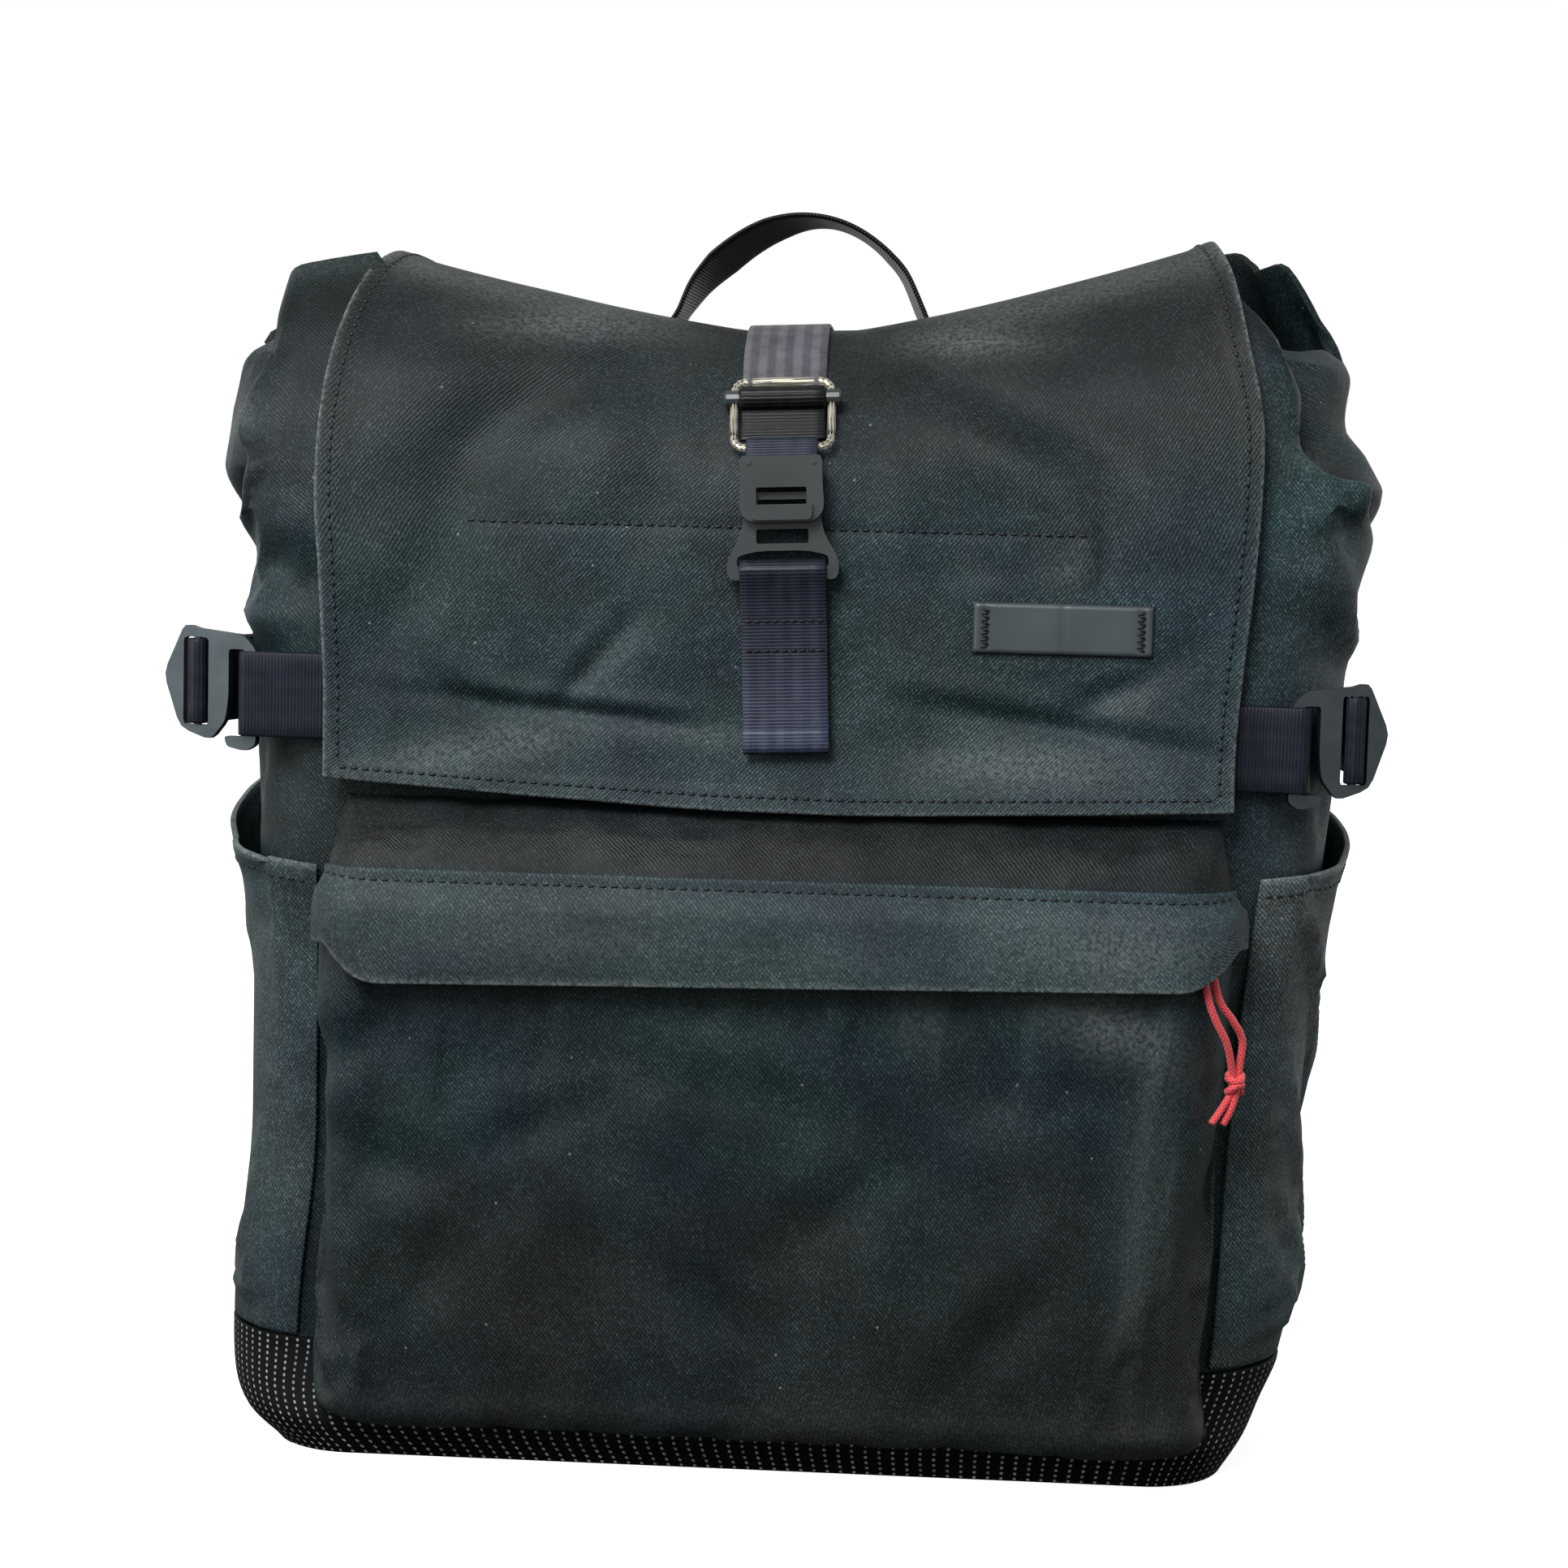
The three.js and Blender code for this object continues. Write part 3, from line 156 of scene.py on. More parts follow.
def swept_tube(name, path, radius, sides, material):
    """A round tube along a path, with its sections carried along without twist."""
    along = np.gradient(path, axis=0)
    along /= np.linalg.norm(along, axis=1)[:, None]
    side = np.cross(along[0], (0.31, 0.2, 0.93))
    rings = []
    for p, d in zip(path, along):
        side = side - d * side.dot(d)
        side /= np.linalg.norm(side)
        other = np.cross(d, side)
        angles = np.linspace(0, 2 * math.pi, sides, endpoint=False)[:, None]
        rings.append(p + radius * (np.cos(angles) * side + np.sin(angles) * other))
    run = distance_along(path)
    turn = np.linspace(0, 2 * math.pi * radius, sides, endpoint=False)
    uv = np.stack(np.meshgrid(turn, run), axis=-1)
    return grid_piece(name, np.array(rings), uv, material, around=True, capped=True)


# Braided polyester: strands about 1 mm wide cross at 45 degrees, so the eye sees a fine herringbone.
braided_polyester, tree, surface = new_material("braided_polyester")
cloth_uv = add_node(tree, "UVMap", {"uv_map": "cloth"})
strands = []
for turn in (0.8, -0.8):
    scaled = {"Rotation": (0, 0, turn), "Scale": (1 / (STRAND_WIDE * MM),) * 3}
    turned = add_node(tree, "Mapping", scaled, {"Vector": cloth_uv.outputs[0]})
    wave = add_node(tree, "TexWave", {"Scale": 1 / math.pi, "Distortion": 0.0}, {"Vector": turned.outputs[0]})
    strands.append(wave.outputs["Fac"])
braid = add_node(tree, "Math", {"operation": "MAXIMUM"}, {0: strands[0], 1: strands[1]}).outputs[0]
braid_colour = add_node(
    tree, "Mix", {"data_type": "RGBA", 6: srgb("#C8202C"), 7: srgb("#FF5A60")}, {0: braid},
)
braid_bump = add_node(tree, "Bump", {"Strength": 0.7, "Distance": 0.25 * MM}, {"Height": braid})
braid_shader = add_node(
    tree, "BsdfPrincipled", {"Roughness": 0.55, "Sheen Weight": 0.3},
    {"Base Color": braid_colour.outputs[2], "Normal": braid_bump.outputs[0]},
)
tree.links.new(braid_shader.outputs[0], surface)

STRAND_ROUTES = {
    "left": [
        (120.25, -83.19, 159.8), (121, -83.6, 153), (122.7, -83.5, 146), (125, -83, 140.5),
        (128, -81.6, 134.8), (129.9, -79.4, 127.8), (130.4, -78, 120.6), (127.8, -79.6, 115.6),
        (124.6, -81.8, 111.2),
    ],
    "right": [
        (122.91, -81.56, 159.8), (123.8, -82, 153), (126, -80.9, 146), (130, -79.6, 140.5),
        (132.9, -77.8, 134.8), (132.4, -77.8, 127.8), (131.8, -78, 120.6), (130.4, -78.6, 115.2),
        (128, -79.6, 110.6),
    ],
}
knot_turns = np.linspace(0, 2.6 * 2 * math.pi, 60)
knot_path = np.stack([
    131.2 + 1.9 * np.cos(knot_turns),
    -78.0 + 1.9 * np.sin(knot_turns),
    122.6 + 3.1 * (knot_turns / knot_turns[-1] * 2 - 1) + 0.7 * np.sin(1.5 * knot_turns),
], axis=1)
pull_knot = swept_tube("pull_knot_wraps", knot_path, CORD_RADIUS, 10, braided_polyester)
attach(pull_knot, "root")
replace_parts(pull_knot, "pull_knot")
for side, points in STRAND_ROUTES.items():
    route = smooth_path(points, 2.2)
    fine_route = smooth_path(points, 0.6)
    strand = swept_tube("pull_cord_" + side, fine_route, CORD_RADIUS, 10, braided_polyester)
    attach(strand, "root")
    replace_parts(strand, "pull_strand_" + side)

# Body
# The main bag: a tube of waxed cotton canvas on a flat floor, with its mouth folded up under the lid.
# The straps pull a waist into it. At each end of the mouth its front panel, a tucked-in gusset and its back
# panel stand up as the three layers of an ear.
CANVAS_THICK, GAP = 2.0, 0.4
FRONT, BACK = -58.0, 60.0
BODY_FOOT, BASE_TOP, EAR_START, EAR_FOOT, BODY_TOP = 2.4, 32, 276, 292, 322
BODY_COLUMNS = ("z", "left", "right", "front", "back", "radius")
BODY_ROWS = [
    (BODY_FOOT, 148, 132, -66, 52, 22),
    (10, 158.5, 138, -67, 56, 26),
    (20, 164.5, 144.5, -62, 59, 29),
    (BASE_TOP, 166.5, 150.5, FRONT, BACK, 32),
    (98, 161.5, 153.5, FRONT, BACK, 32),
    (134, 161.5, 155.5, FRONT, BACK, 32),
    (170, 162, 159, FRONT, BACK, 32),
    (202, 163, 162, FRONT, BACK, 32),
    (240, 165, 165, FRONT, BACK, 32),
    (248, 170, 168.5, FRONT, BACK, 32),
    (264, 168, 171.5, FRONT, BACK, 33),
    (280, 173.5, 174, -57.5, BACK, 34),
    (EAR_FOOT, 178, 176.5, -56, BACK, 34),
    (299, 178, 174, -54, BACK, 32),
    (306, 175, 165.5, -50, BACK, 30),
    (314, 171, 157, -42, 58.5, 24),
    (BODY_TOP, 166, 147, -26, 52, 15),
]
# Each ear: the distance of its layers from the middle, and how far they rise above the section.
LIFT_POWER, LID_EDGE, GUSSET_FALL = 1.4, 120, 1.7
EAR_COLUMNS = ("z", "lobe", "tuck", "gusset", "rear", "lobe_lift", "gusset_lift", "rear_lift")
EAR_ROWS = {
    1: [
        (EAR_FOOT, 168, 164, 176.5, 175.5, 3, 3, 3),
        (299, 147, 134, 172, 172, 6, 6, 7),
        (306, 146.5, 130, 164, 158, 12, 11, 17),
        (314, 141, 126, 166, 149, 21, 16, 31),
        (BODY_TOP, 124, 115, 163, 142, 34, 15, 45),
    ],
    -1: [
        (EAR_FOOT, 164, 154, 179, 176, 2, 2, 3),
        (299, 167, 152, 178.5, 174, 5, 4, 8),
        (306, 165, 149, 177.5, 165, 9, 10, 13),
        (314, 159, 144, 176, 160, 17, 13, 20),
        (BODY_TOP, 157, 141, 171, 157, 30, 11, 28),
    ],
}
# Places round an ear from front to back: the share of the way from one layer to the next, the inset, and
# the distance behind the front panel or, where it is negative, before the back panel.
EAR_PLACES = [
    ("lobe", "lobe", 0, 14, 0),
    ("lobe", "lobe", 0, 3.5, 0.8),
    ("lobe", "lobe", 0, 0, 4),
    ("lobe", "lobe", 0, 1.5, 7.5),
    ("lobe", "tuck", 0.6, 0, 10.5),
    ("lobe", "tuck", 1, 0, 13),
    ("tuck", "gusset", 0.25, 0, 15.5),
    ("tuck", "gusset", 0.6, 0, 21),
    ("tuck", "gusset", 0.88, 0, 30),
    ("tuck", "gusset", 1, 0, 44),
    ("gusset", "rear", 0.3, 0, -33),
    ("gusset", "rear", 0.7, 0, -30),
    ("gusset", "rear", 1, 0, -24),
    ("rear", "rear", 0, 0, -14),
    ("rear", "rear", 0, 2, -7),
    ("rear", "rear", 0, 7, -2),
    ("rear", "rear", 0, 16, -1e-6),
]
# Creases, each a valley with a raised lip beside it. Place is millimetres round the corner from the
# front panel, then height; tilt in degrees from level, with length, width and depth.
BODY_CREASES = [
    (1, 20, 248, -30, 26, 9, 2.5),
    (1, 52, 262, 20, 34, 12, 2.0),
    (1, 30, 282, 14, 26, 7, 2.0),
    (-1, 18, 262, 30, 30, 9, 3.0),
    (-1, 40, 252, 150, 30, 10, 2.5),
    (-1, 26, 282, 160, 24, 7, 2.0),
    (-1, 20, 204, 62, 14, 4.5, 2.2),
    (-1, 36, 202, 112, 16, 5, 1.8),
    (1, 20, 200, 66, 14, 4.5, 2.2),
    (1, 34, 198, 115, 14, 5, 1.6),
]


def eased(xs, ys, at):
    """A smooth curve through points that never overshoots them."""
    xs, ys, at = (np.array(v, float) for v in (xs, ys, at))
    h = np.diff(xs)
    slope = np.diff(ys) / h
    tangent = np.zeros_like(ys)
    tangent[0], tangent[-1] = slope[0], slope[-1]
    same = slope[:-1] * slope[1:] > 0
    w1, w2 = 2 * h[1:] + h[:-1], h[1:] + 2 * h[:-1]
    safe = np.where(same, slope[:-1], 1.0), np.where(same, slope[1:], 1.0)
    tangent[1:-1] = np.where(same, (w1 + w2) / (w1 / safe[0] + w2 / safe[1]), 0.0)
    i = np.clip(np.searchsorted(xs, at) - 1, 0, len(xs) - 2)
    t = (at - xs[i]) / h[i]
    return (
        ys[i] * (1 + 2 * t) * (1 - t) ** 2 + ys[i + 1] * t**2 * (3 - 2 * t)
        + h[i] * (tangent[i] * t * (1 - t) ** 2 - tangent[i + 1] * t**2 * (1 - t))
    )


def unevenness(points, size, seed):
    """Soft noise between -1 and 1 at each point of a grid, with lumps about size millimetres wide."""
    shift = Vector((seed * 7.3, seed * 3.1, seed * 5.7))
    values = [noise.noise(Vector(p) / size + shift) for p in points.reshape(-1, 3)]
    return np.array(values).reshape(points.shape[:2])


def crease_depths(creases, place, height):
    """How deep a table of creases presses into the cloth at each place."""
    depth = np.zeros_like(place)
    for at, z, tilt, length, width, deep in creases:
        c, s = math.cos(math.radians(tilt)), math.sin(math.radians(tilt))
        along = (place - at) * c + (height - z) * s
        across = (height - z) * c - (place - at) * s
        fade = np.exp(-((along / length) ** 2))
        valley = np.exp(-((across / width) ** 2))
        lip = np.exp(-(((across - 1.7 * width) / (1.1 * width)) ** 2))
        depth += deep * fade * (valley - 0.45 * lip)
    return depth


def grid_normals(points, around=False):
    """Unit normals of a grid, on the side that its columns and rows give."""
    if around:
        across = np.roll(points, -1, axis=1) - np.roll(points, 1, axis=1)
    else:
        across = np.gradient(points, axis=1)
    normal = np.cross(across, np.gradient(points, axis=0))
    return normal / np.maximum(np.linalg.norm(normal, axis=2, keepdims=True), 1e-9)


def settle(points, held, around, pressure, slack, most, frames=16):
    """Lets a grid of cloth settle by simulation: held is 1 where it is sewn down, slack is spare cloth,
    pressure comes from the load inside, and no point moves further than most millimetres."""
    flat = bpy.data.materials.new("settling")
    piece = grid_piece("settling", points, np.zeros(points.shape[:2] + (2,)), flat, around=around)
    group = piece.vertex_groups.new(name="held")
    for i, weight in enumerate(held.ravel()):
        group.add([i], float(weight), "REPLACE")
    cloth = piece.modifiers.new("settle", "CLOTH")
    settings = cloth.settings
    settings.quality = 6
    settings.mass = 0.3
    settings.tension_stiffness = settings.compression_stiffness = 25
    settings.shear_stiffness = 12
    settings.bending_stiffness = 1.2
    settings.vertex_group_mass = "held"
    settings.shrink_min = settings.shrink_max = -slack
    settings.use_pressure = True
    settings.uniform_pressure_force = pressure
    settings.effector_weights.gravity = 0.3
    cloth.collision_settings.use_collision = False
    cloth.point_cache.frame_start, cloth.point_cache.frame_end = 1, frames
    for f in range(1, frames + 1):
        bpy.context.scene.frame_set(f)
    shown = piece.evaluated_get(bpy.context.evaluated_depsgraph_get()).to_mesh()
    settled = np.zeros(len(shown.vertices) * 3)
    shown.vertices.foreach_get("co", settled)
    bpy.data.objects.remove(piece)
    bpy.data.materials.remove(flat)
    bpy.context.scene.frame_set(1)
    move = settled.reshape(points.shape) / MM - points
    far = np.linalg.norm(move, axis=2, keepdims=True)
    return points + move * np.minimum(1.0, most / np.maximum(far, 1e-6))


def ring_places(arc, side, wide):
    """Angle of the normal and the shares across and along, for places round a rounded rectangle."""
    places = []
    corners = [(1, 0, -90, side), (1, 1, 0, wide), (0, 1, 90, side), (0, 0, 180, wide)]
    for k, (wx, wy, start, steps) in enumerate(corners):
        nx, ny = corners[(k + 1) % 4][:2]
        places += [(start + 90 * i / arc, wx, wy) for i in range(arc)]
        places += [(start + 90, wx + (nx - wx) * i / steps, wy + (ny - wy) * i / steps) for i in range(steps)]
    return np.array(places, float).T


def body_grid(heights, places, outwards=0.0):
    """Points of the body's plain sections at those heights, with their normals and the distance round
    from the front panel."""
    table = np.array(BODY_ROWS, float).T
    row = {name: eased(table[0], table[i], heights)[:, None] for i, name in enumerate(BODY_COLUMNS)}
    angle, wx, wy = (p[None, :] for p in places)
    nx, ny = np.cos(np.radians(angle)), np.sin(np.radians(angle))
    radius, reach = row["radius"], row["radius"] + outwards
    deep = row["back"] - row["front"] - 2 * radius
    x = (radius - row["left"]) + wx * (row["right"] + row["left"] - 2 * radius) + reach * nx
    y = (row["front"] + radius) + wy * deep + reach * ny
    place = radius * (np.arccos(np.clip(-ny, -1, 1)) + 0 * x) + wy * deep
    points = np.stack([x, y, row["z"] + 0 * x], axis=-1)
    return points, np.stack([nx + 0 * x, ny + 0 * x, 0 * x], axis=-1), place


def lifted(x, reach):
    """Share of an ear's rise at a distance from the middle: slow under the lid, full beside it, then
    sloping down to a rounded corner."""
    beside_lid = np.clip((x - LID_EDGE) / 10, 0, 1)
    beside_lid = beside_lid**2 * (3 - 2 * beside_lid)
    slow = (x / reach) ** LIFT_POWER
    lean = 0.2 * np.clip((reach - x) / 34, 0, 1) - 0.1 * np.clip((x - reach + 6) / 6, 0, 1) ** 2
    return slow + (1 - slow + lean) * beside_lid


def ear_side(hand, heights, count):
    """Points round one ear at those heights, count columns from the front panel to the back panel and
    one more, and the ear's measures there."""
    body, ear = np.array(BODY_ROWS, float).T, np.array(EAR_ROWS[hand], float).T
    front, back = eased(body[0], body[3], heights), eased(body[0], body[4], heights)
    row = {name: eased(ear[0], ear[i], np.maximum(heights, EAR_FOOT)) for i, name in enumerate(EAR_COLUMNS)}
    row["tuck_lift"] = row["lobe_lift"]
    stations = []
    for layer, following, share, inset, behind in EAR_PLACES:
        reach = row[layer] + share * (row[following] - row[layer])
        fallen = min(1.0, GUSSET_FALL * share)
        lift = row[layer + "_lift"] + fallen * (row[following + "_lift"] - row[layer + "_lift"])
        x = reach - inset
        y = front + behind if behind >= 0 else back + behind
        stations.append(np.stack([hand * x, y, heights + lift * lifted(x, reach)], axis=-1))
    p = np.array([2 * stations[0] - stations[1]] + stations + [2 * stations[-1] - stations[-2]])
    at = np.linspace(0, len(stations) - 1, count + 1)
    i = np.minimum(at.astype(int), len(stations) - 2)
    t = (at - i)[:, None, None]
    curve = spline(p[i], p[i + 1], p[i + 2], p[i + 3], t)
    return np.swapaxes(curve, 0, 1), row


def ear_panel(start, end, heights, count, layer, rows):
    """Points across the front or the back panel at those heights, between the two ears."""
    t = np.arange(count)[None, :] / count
    x = start[:, :1] + (end[:, :1] - start[:, :1]) * t
    right, left = rows
    reach = np.where(x < 0, left[layer][:, None], right[layer][:, None])
    lift = np.where(x < 0, left[layer + "_lift"][:, None], right[layer + "_lift"][:, None])
    z = heights[:, None] + lift * lifted(np.abs(x), reach)
    return np.stack([x, start[:, 1:2] + 0 * x, z], axis=-1)


def ear_grid(heights, side_count, wide_count):
    """Sections through both ears, with their columns in the order of the plain sections."""
    right, right_row = ear_side(1, heights, side_count)
    left, left_row = ear_side(-1, heights, side_count)
    rows = (right_row, left_row)
    behind = ear_panel(right[:, -1], left[:, -1], heights, wide_count, "rear", rows)
    before = ear_panel(left[:, 0], right[:, 0], heights, wide_count, "lobe", rows)
    return np.concatenate([right[:, :-1], behind, left[:, :0:-1], before], axis=1)


# Waxed cotton canvas: a dense twill rubbed with wax, matt and nearly black. It is blue in some patches, green
# or brown in others, darker where the wax lies thick, and paler where it is scuffed or where a painted sheen
# lies.
# Each piece carries its dryness, its painted shading (painted light falloff, painted shade and painted sheen)
# and its scuffs mixed with painted sheen. The twill line is 0.85 mm in the cloth and drawn at 0.95 mm, so
# that it shows.
TWILL, WEFT, LINT = 0.95, 1.1, 13
# Noises that vary the cloth: the size of their lumps in millimetres and their detail, the part of the noise
# that is used, and the range it is stretched to.
CANVAS_CLOUDS = {
    "dry": (45, 3.0, 0.38, 0.66, -0.3, 0.35),
    "hue": (70, 2.0, 0.4, 0.62, 0.0, 1.0),
    "mottle": (3, 5.0, 0.42, 0.72, 0.0, 0.35),
    "speck": (0.8, 2.0, 0.48, 0.72, 0.0, 0.55),
    "wax": (34, 2.0, 0.32, 0.68, 0.74, 1.28),
    "uneven_wax": (11, 3.0, 0.3, 0.7, 0.86, 1.16),
    "rub_and_sheen": (1.3, 4.0, 0.36, 0.66, 0.1, 1.0),
    "lump": (6, 4.0, 0.0, 1.0, 0.0, 1.0),
    "roughness": (60, 4.0, 0.3, 0.7, 0.42, 0.62),
}
waxed_canvas, tree, surface = new_material("waxed_cotton_canvas")
cloth_uv = add_node(tree, "UVMap", {"uv_map": "cloth"})
solid_place = add_node(tree, "TexCoord").outputs["Object"]
clouds, weave, carried = {}, {}, {}
for name, (size, detail, low, high, least, most) in CANVAS_CLOUDS.items():
    look = {"Scale": 1 / (size * MM), "Detail": detail, "Roughness": 0.6}
    cloud = add_node(tree, "TexNoise", look, {"Vector": solid_place})
    limits = {"From Min": low, "From Max": high, "To Min": least, "To Max": most}
    clouds[name] = add_node(tree, "MapRange", limits, {"Value": cloud.outputs["Fac"]}).outputs[0]
for name, pitch, turn, distortion, detail in (
    ("twill", TWILL, -0.75, 1.8, 1.0),
    ("weft", WEFT, 0.5, 2.2, 2.0),
):
    scaled = {"Rotation": (0, 0, turn), "Scale": (1 / (pitch * MM),) * 3}
    turned = add_node(tree, "Mapping", scaled, {"Vector": cloth_uv.outputs[0]})
    look = {"Scale": 1 / math.pi, "Distortion": distortion, "Detail": detail, "Detail Scale": 1.5}
    weave[name] = add_node(tree, "TexWave", look, {"Vector": turned.outputs[0]}).outputs["Fac"]
for name in ("dry", "painted_shading", "scuff_and_sheen"):
    carried[name] = add_node(tree, "Attribute", {"attribute_name": name}).outputs["Fac"]
lint_cells = add_node(tree, "TexVoronoi", {"Scale": 1 / (LINT * MM)}, {"Vector": solid_place})
shares = {"mottle": clouds["mottle"], "speck": clouds["speck"]}
for name, settings, links in (
    ("dry", {"operation": "ADD", "use_clamp": True}, {0: clouds["dry"], 1: carried["dry"]}),
    ("weft", {"operation": "MULTIPLY", 1: 0.4}, {0: weave["weft"]}),
    ("twill", {"operation": "MULTIPLY", 1: 0.66}, {0: weave["twill"]}),
    ("rub_and_sheen", {"operation": "MULTIPLY", "use_clamp": True}, {0: clouds["rub_and_sheen"], 1: carried["scuff_and_sheen"]}),
    ("lint", {"operation": "LESS_THAN", 1: 0.03}, {0: lint_cells.outputs["Distance"]}),
):
    shares[name] = add_node(tree, "Math", settings, links).outputs[0]
hue = add_node(
    tree, "Mix", {"data_type": "RGBA", 6: srgb("#223844"), 7: srgb("#223B3B")}, {0: clouds["hue"]},
)
cloth_colour = hue.outputs[2]
for name, code in (
    ("dry", "#363633"),
    ("mottle", "#41575F"),
    ("speck", "#6E8289"),
    ("weft", "#0A0F11"),
    ("twill", "#0A0F11"),
):
    layer = add_node(tree, "Mix", {"data_type": "RGBA", 7: srgb(code)}, {0: shares[name], 6: cloth_colour})
    cloth_colour = layer.outputs[2]
# Each piece's painted shading multiplies the colour: light and shade painted in, darker where less light
# falls.
for shade in (clouds["wax"], clouds["uneven_wax"], carried["painted_shading"]):
    settings = {"data_type": "RGBA", "blend_type": "MULTIPLY", 0: 1.0}
    cloth_colour = add_node(tree, "Mix", settings, {6: cloth_colour, 7: shade}).outputs[2]
# Pale rubs, partly scuffed wear and partly a painted sheen, and then specks of lint.
for name, code in (("rub_and_sheen", "#8F9796"), ("lint", "#787674")):
    layer = add_node(tree, "Mix", {"data_type": "RGBA", 7: srgb(code)}, {0: shares[name], 6: cloth_colour})
    cloth_colour = layer.outputs[2]
twill_bump = add_node(tree, "Bump", {"Strength": 0.5, "Distance": 0.16 * MM}, {"Height": weave["twill"]})
soft_bump = add_node(
    tree, "Bump", {"Strength": 0.25, "Distance": 0.7 * MM},
    {"Height": clouds["lump"], "Normal": twill_bump.outputs[0]},
)
canvas_shader = add_node(
    tree, "BsdfPrincipled", {"Specular IOR Level": 0.2},
    {"Base Color": cloth_colour, "Roughness": clouds["roughness"], "Normal": soft_bump.outputs[0]},
)
tree.links.new(canvas_shader.outputs[0], surface)


def walled(piece, thick, edge=0.5):
    """Gives a cloth sheet its thickness, inwards from its face, and eases its cut edges."""
    wall = piece.modifiers.new("wall", "SOLIDIFY")
    wall.thickness = thick * MM
    wall.offset = -1.0
    ease = piece.modifiers.new("eased_edge", "BEVEL")
    ease.width = edge * MM
    ease.segments = 2
    ease.limit_method = "ANGLE"
    ease.angle_limit = math.radians(55)
    return piece


def rubs_and_sheen(spots, x, z):
    """How far the cloth is made pale at each place, partly as rubbed wear and partly as a painted sheen. Each
    spot has its x and z, half its length and its height, its tilt in degrees and its strength."""
    total = np.zeros_like(x)
    for at_x, at_z, long, high, tilt, strength in spots:
        c, s = math.cos(math.radians(tilt)), math.sin(math.radians(tilt))
        along = (x - at_x) * c + (z - at_z) * s
        across = (z - at_z) * c - (x - at_x) * s
        total += strength * np.exp(-((along / long) ** 2) - (across / high) ** 2)
    return total


def run_along(points, axis):
    """Distance along the rows or columns of a grid from its first point."""
    steps = np.linalg.norm(np.diff(points, axis=axis), axis=2)
    start = np.zeros_like(points[:1, :, 0] if axis == 0 else points[:, :1, 0])
    return np.concatenate([start, np.cumsum(steps, axis=axis)], axis=axis)


ARC_STEPS, SIDE_STEPS, WIDE_STEPS = 14, 26, 56
body_places = ring_places(ARC_STEPS, SIDE_STEPS, WIDE_STEPS)
FINE_START = EAR_START + 2
coarse, fine = np.linspace(BODY_FOOT, FINE_START, 92)[:-1], np.linspace(FINE_START, BODY_TOP, 40)
body_heights = np.concatenate([coarse, fine])
body_points, body_normals, body_place = body_grid(body_heights, body_places)
body_side = np.sign(np.round(body_normals[..., 0] * 100))
ear_share = np.clip((body_heights - EAR_START) / (EAR_FOOT + 1 - EAR_START), 0, 1)[:, None, None]
ear_share = ear_share**2 * (3 - 2 * ear_share)
ear_points = ear_grid(body_heights, 2 * ARC_STEPS + SIDE_STEPS, WIDE_STEPS)
body_points = body_points * (1 - ear_share) + ear_points * ear_share
body_height = np.repeat(body_heights[:, None], body_points.shape[1], axis=1)
press = np.zeros(body_points.shape[:2])
for hand in (1, -1):
    creases = [c[1:] for c in BODY_CREASES if c[0] == hand]
    press += np.where(body_side == hand, crease_depths(creases, body_place, body_points[..., 2]), 0)
press *= 1 - np.clip((body_height - 284) / 8, 0, 1)
round_side = np.clip((body_place - 2) / 8, 0, 1) * np.clip((150 - body_place) / 14, 0, 1)
loose = np.clip((body_height - 238) / 20, 0, 1) * round_side
press -= loose * (0.9 * unevenness(body_points, 34, 1) + 0.4 * unevenness(body_points, 14, 2))
strap_band = np.clip((body_height - 178) / 8, 0, 1) * np.clip((212 - body_height) / 4, 0, 1)
under_strap = np.maximum(press, 0) * strap_band
press = press * np.clip((body_height - 232) / 10, 0, 1) + under_strap
body_points = body_points - grid_normals(body_points, around=True) * press[..., None]
body_held = 1 - loose * np.clip((319 - body_height) / 6, 0.3, 1)
body_points = settle(body_points, body_held, True, 0.5, 0.01, 2.5)
# The cloth is measured from the middle of the back panel, so that its seam lies there.
BACK_MIDDLE = 2 * ARC_STEPS + SIDE_STEPS + WIDE_STEPS // 2
body_points = np.roll(body_points, -BACK_MIDDLE, axis=1)
body_uv = np.stack([run_along(body_points, 1), run_along(body_points, 0)], axis=-1)
body_uv[..., 0] -= body_uv[:, body_uv.shape[1] // 2, 0][:, None]
# Pale spots on the ears, partly rubbed wear and partly a painted sheen.
BODY_RUBS_AND_SHEEN = [(150, 302, 8, 5, 0, 0.25), (-168, 306, 10, 6, 20, 0.3), (-176, 284, 4, 12, 0, 0.2)]
rim_wear = 0.12 * np.clip((body_height - 319.5) / 2, 0, 1)
# Painted shading: the body is painted darker towards its foot, towards its top and on its left side, and
# lighter on its right. The back half of each ear is darkened as painted shade, with its scuffs faded out, and
# so is the fold beside each lobe.
body_painted_shading = np.interp(body_height, (30, 190, 250, 290, 312), (0.7, 0.9, 1.1, 1.1, 0.7))
body_painted_shading = body_painted_shading * np.interp(body_points[..., 0], (-170, -120, 120, 170), (0.7, 0.7, 1.35, 1.35))
in_shade = np.clip((body_points[..., 1] - 5) / 20, 0, 1) * np.clip((body_height - 290) / 10, 0, 1)
tuck_painted_shade = np.exp(-(((body_points[..., 1] + 36) / 8) ** 2)) * np.clip((body_height - 282) / 10, 0, 1)
body_marks = {
    "scuff_and_sheen": (rubs_and_sheen(BODY_RUBS_AND_SHEEN, body_points[..., 0], body_points[..., 2]) + rim_wear) * (1 - in_shade),
    "painted_shading": body_painted_shading * (1 - 0.55 * in_shade) * (1 - 0.6 * tuck_painted_shade),
    "dry": 0.25,
}
body = grid_piece("canvas_body", body_points, body_uv, waxed_canvas, around=True, marks=body_marks)
walled(body, CANVAS_THICK)
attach(body, "root")
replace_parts(body, "body")

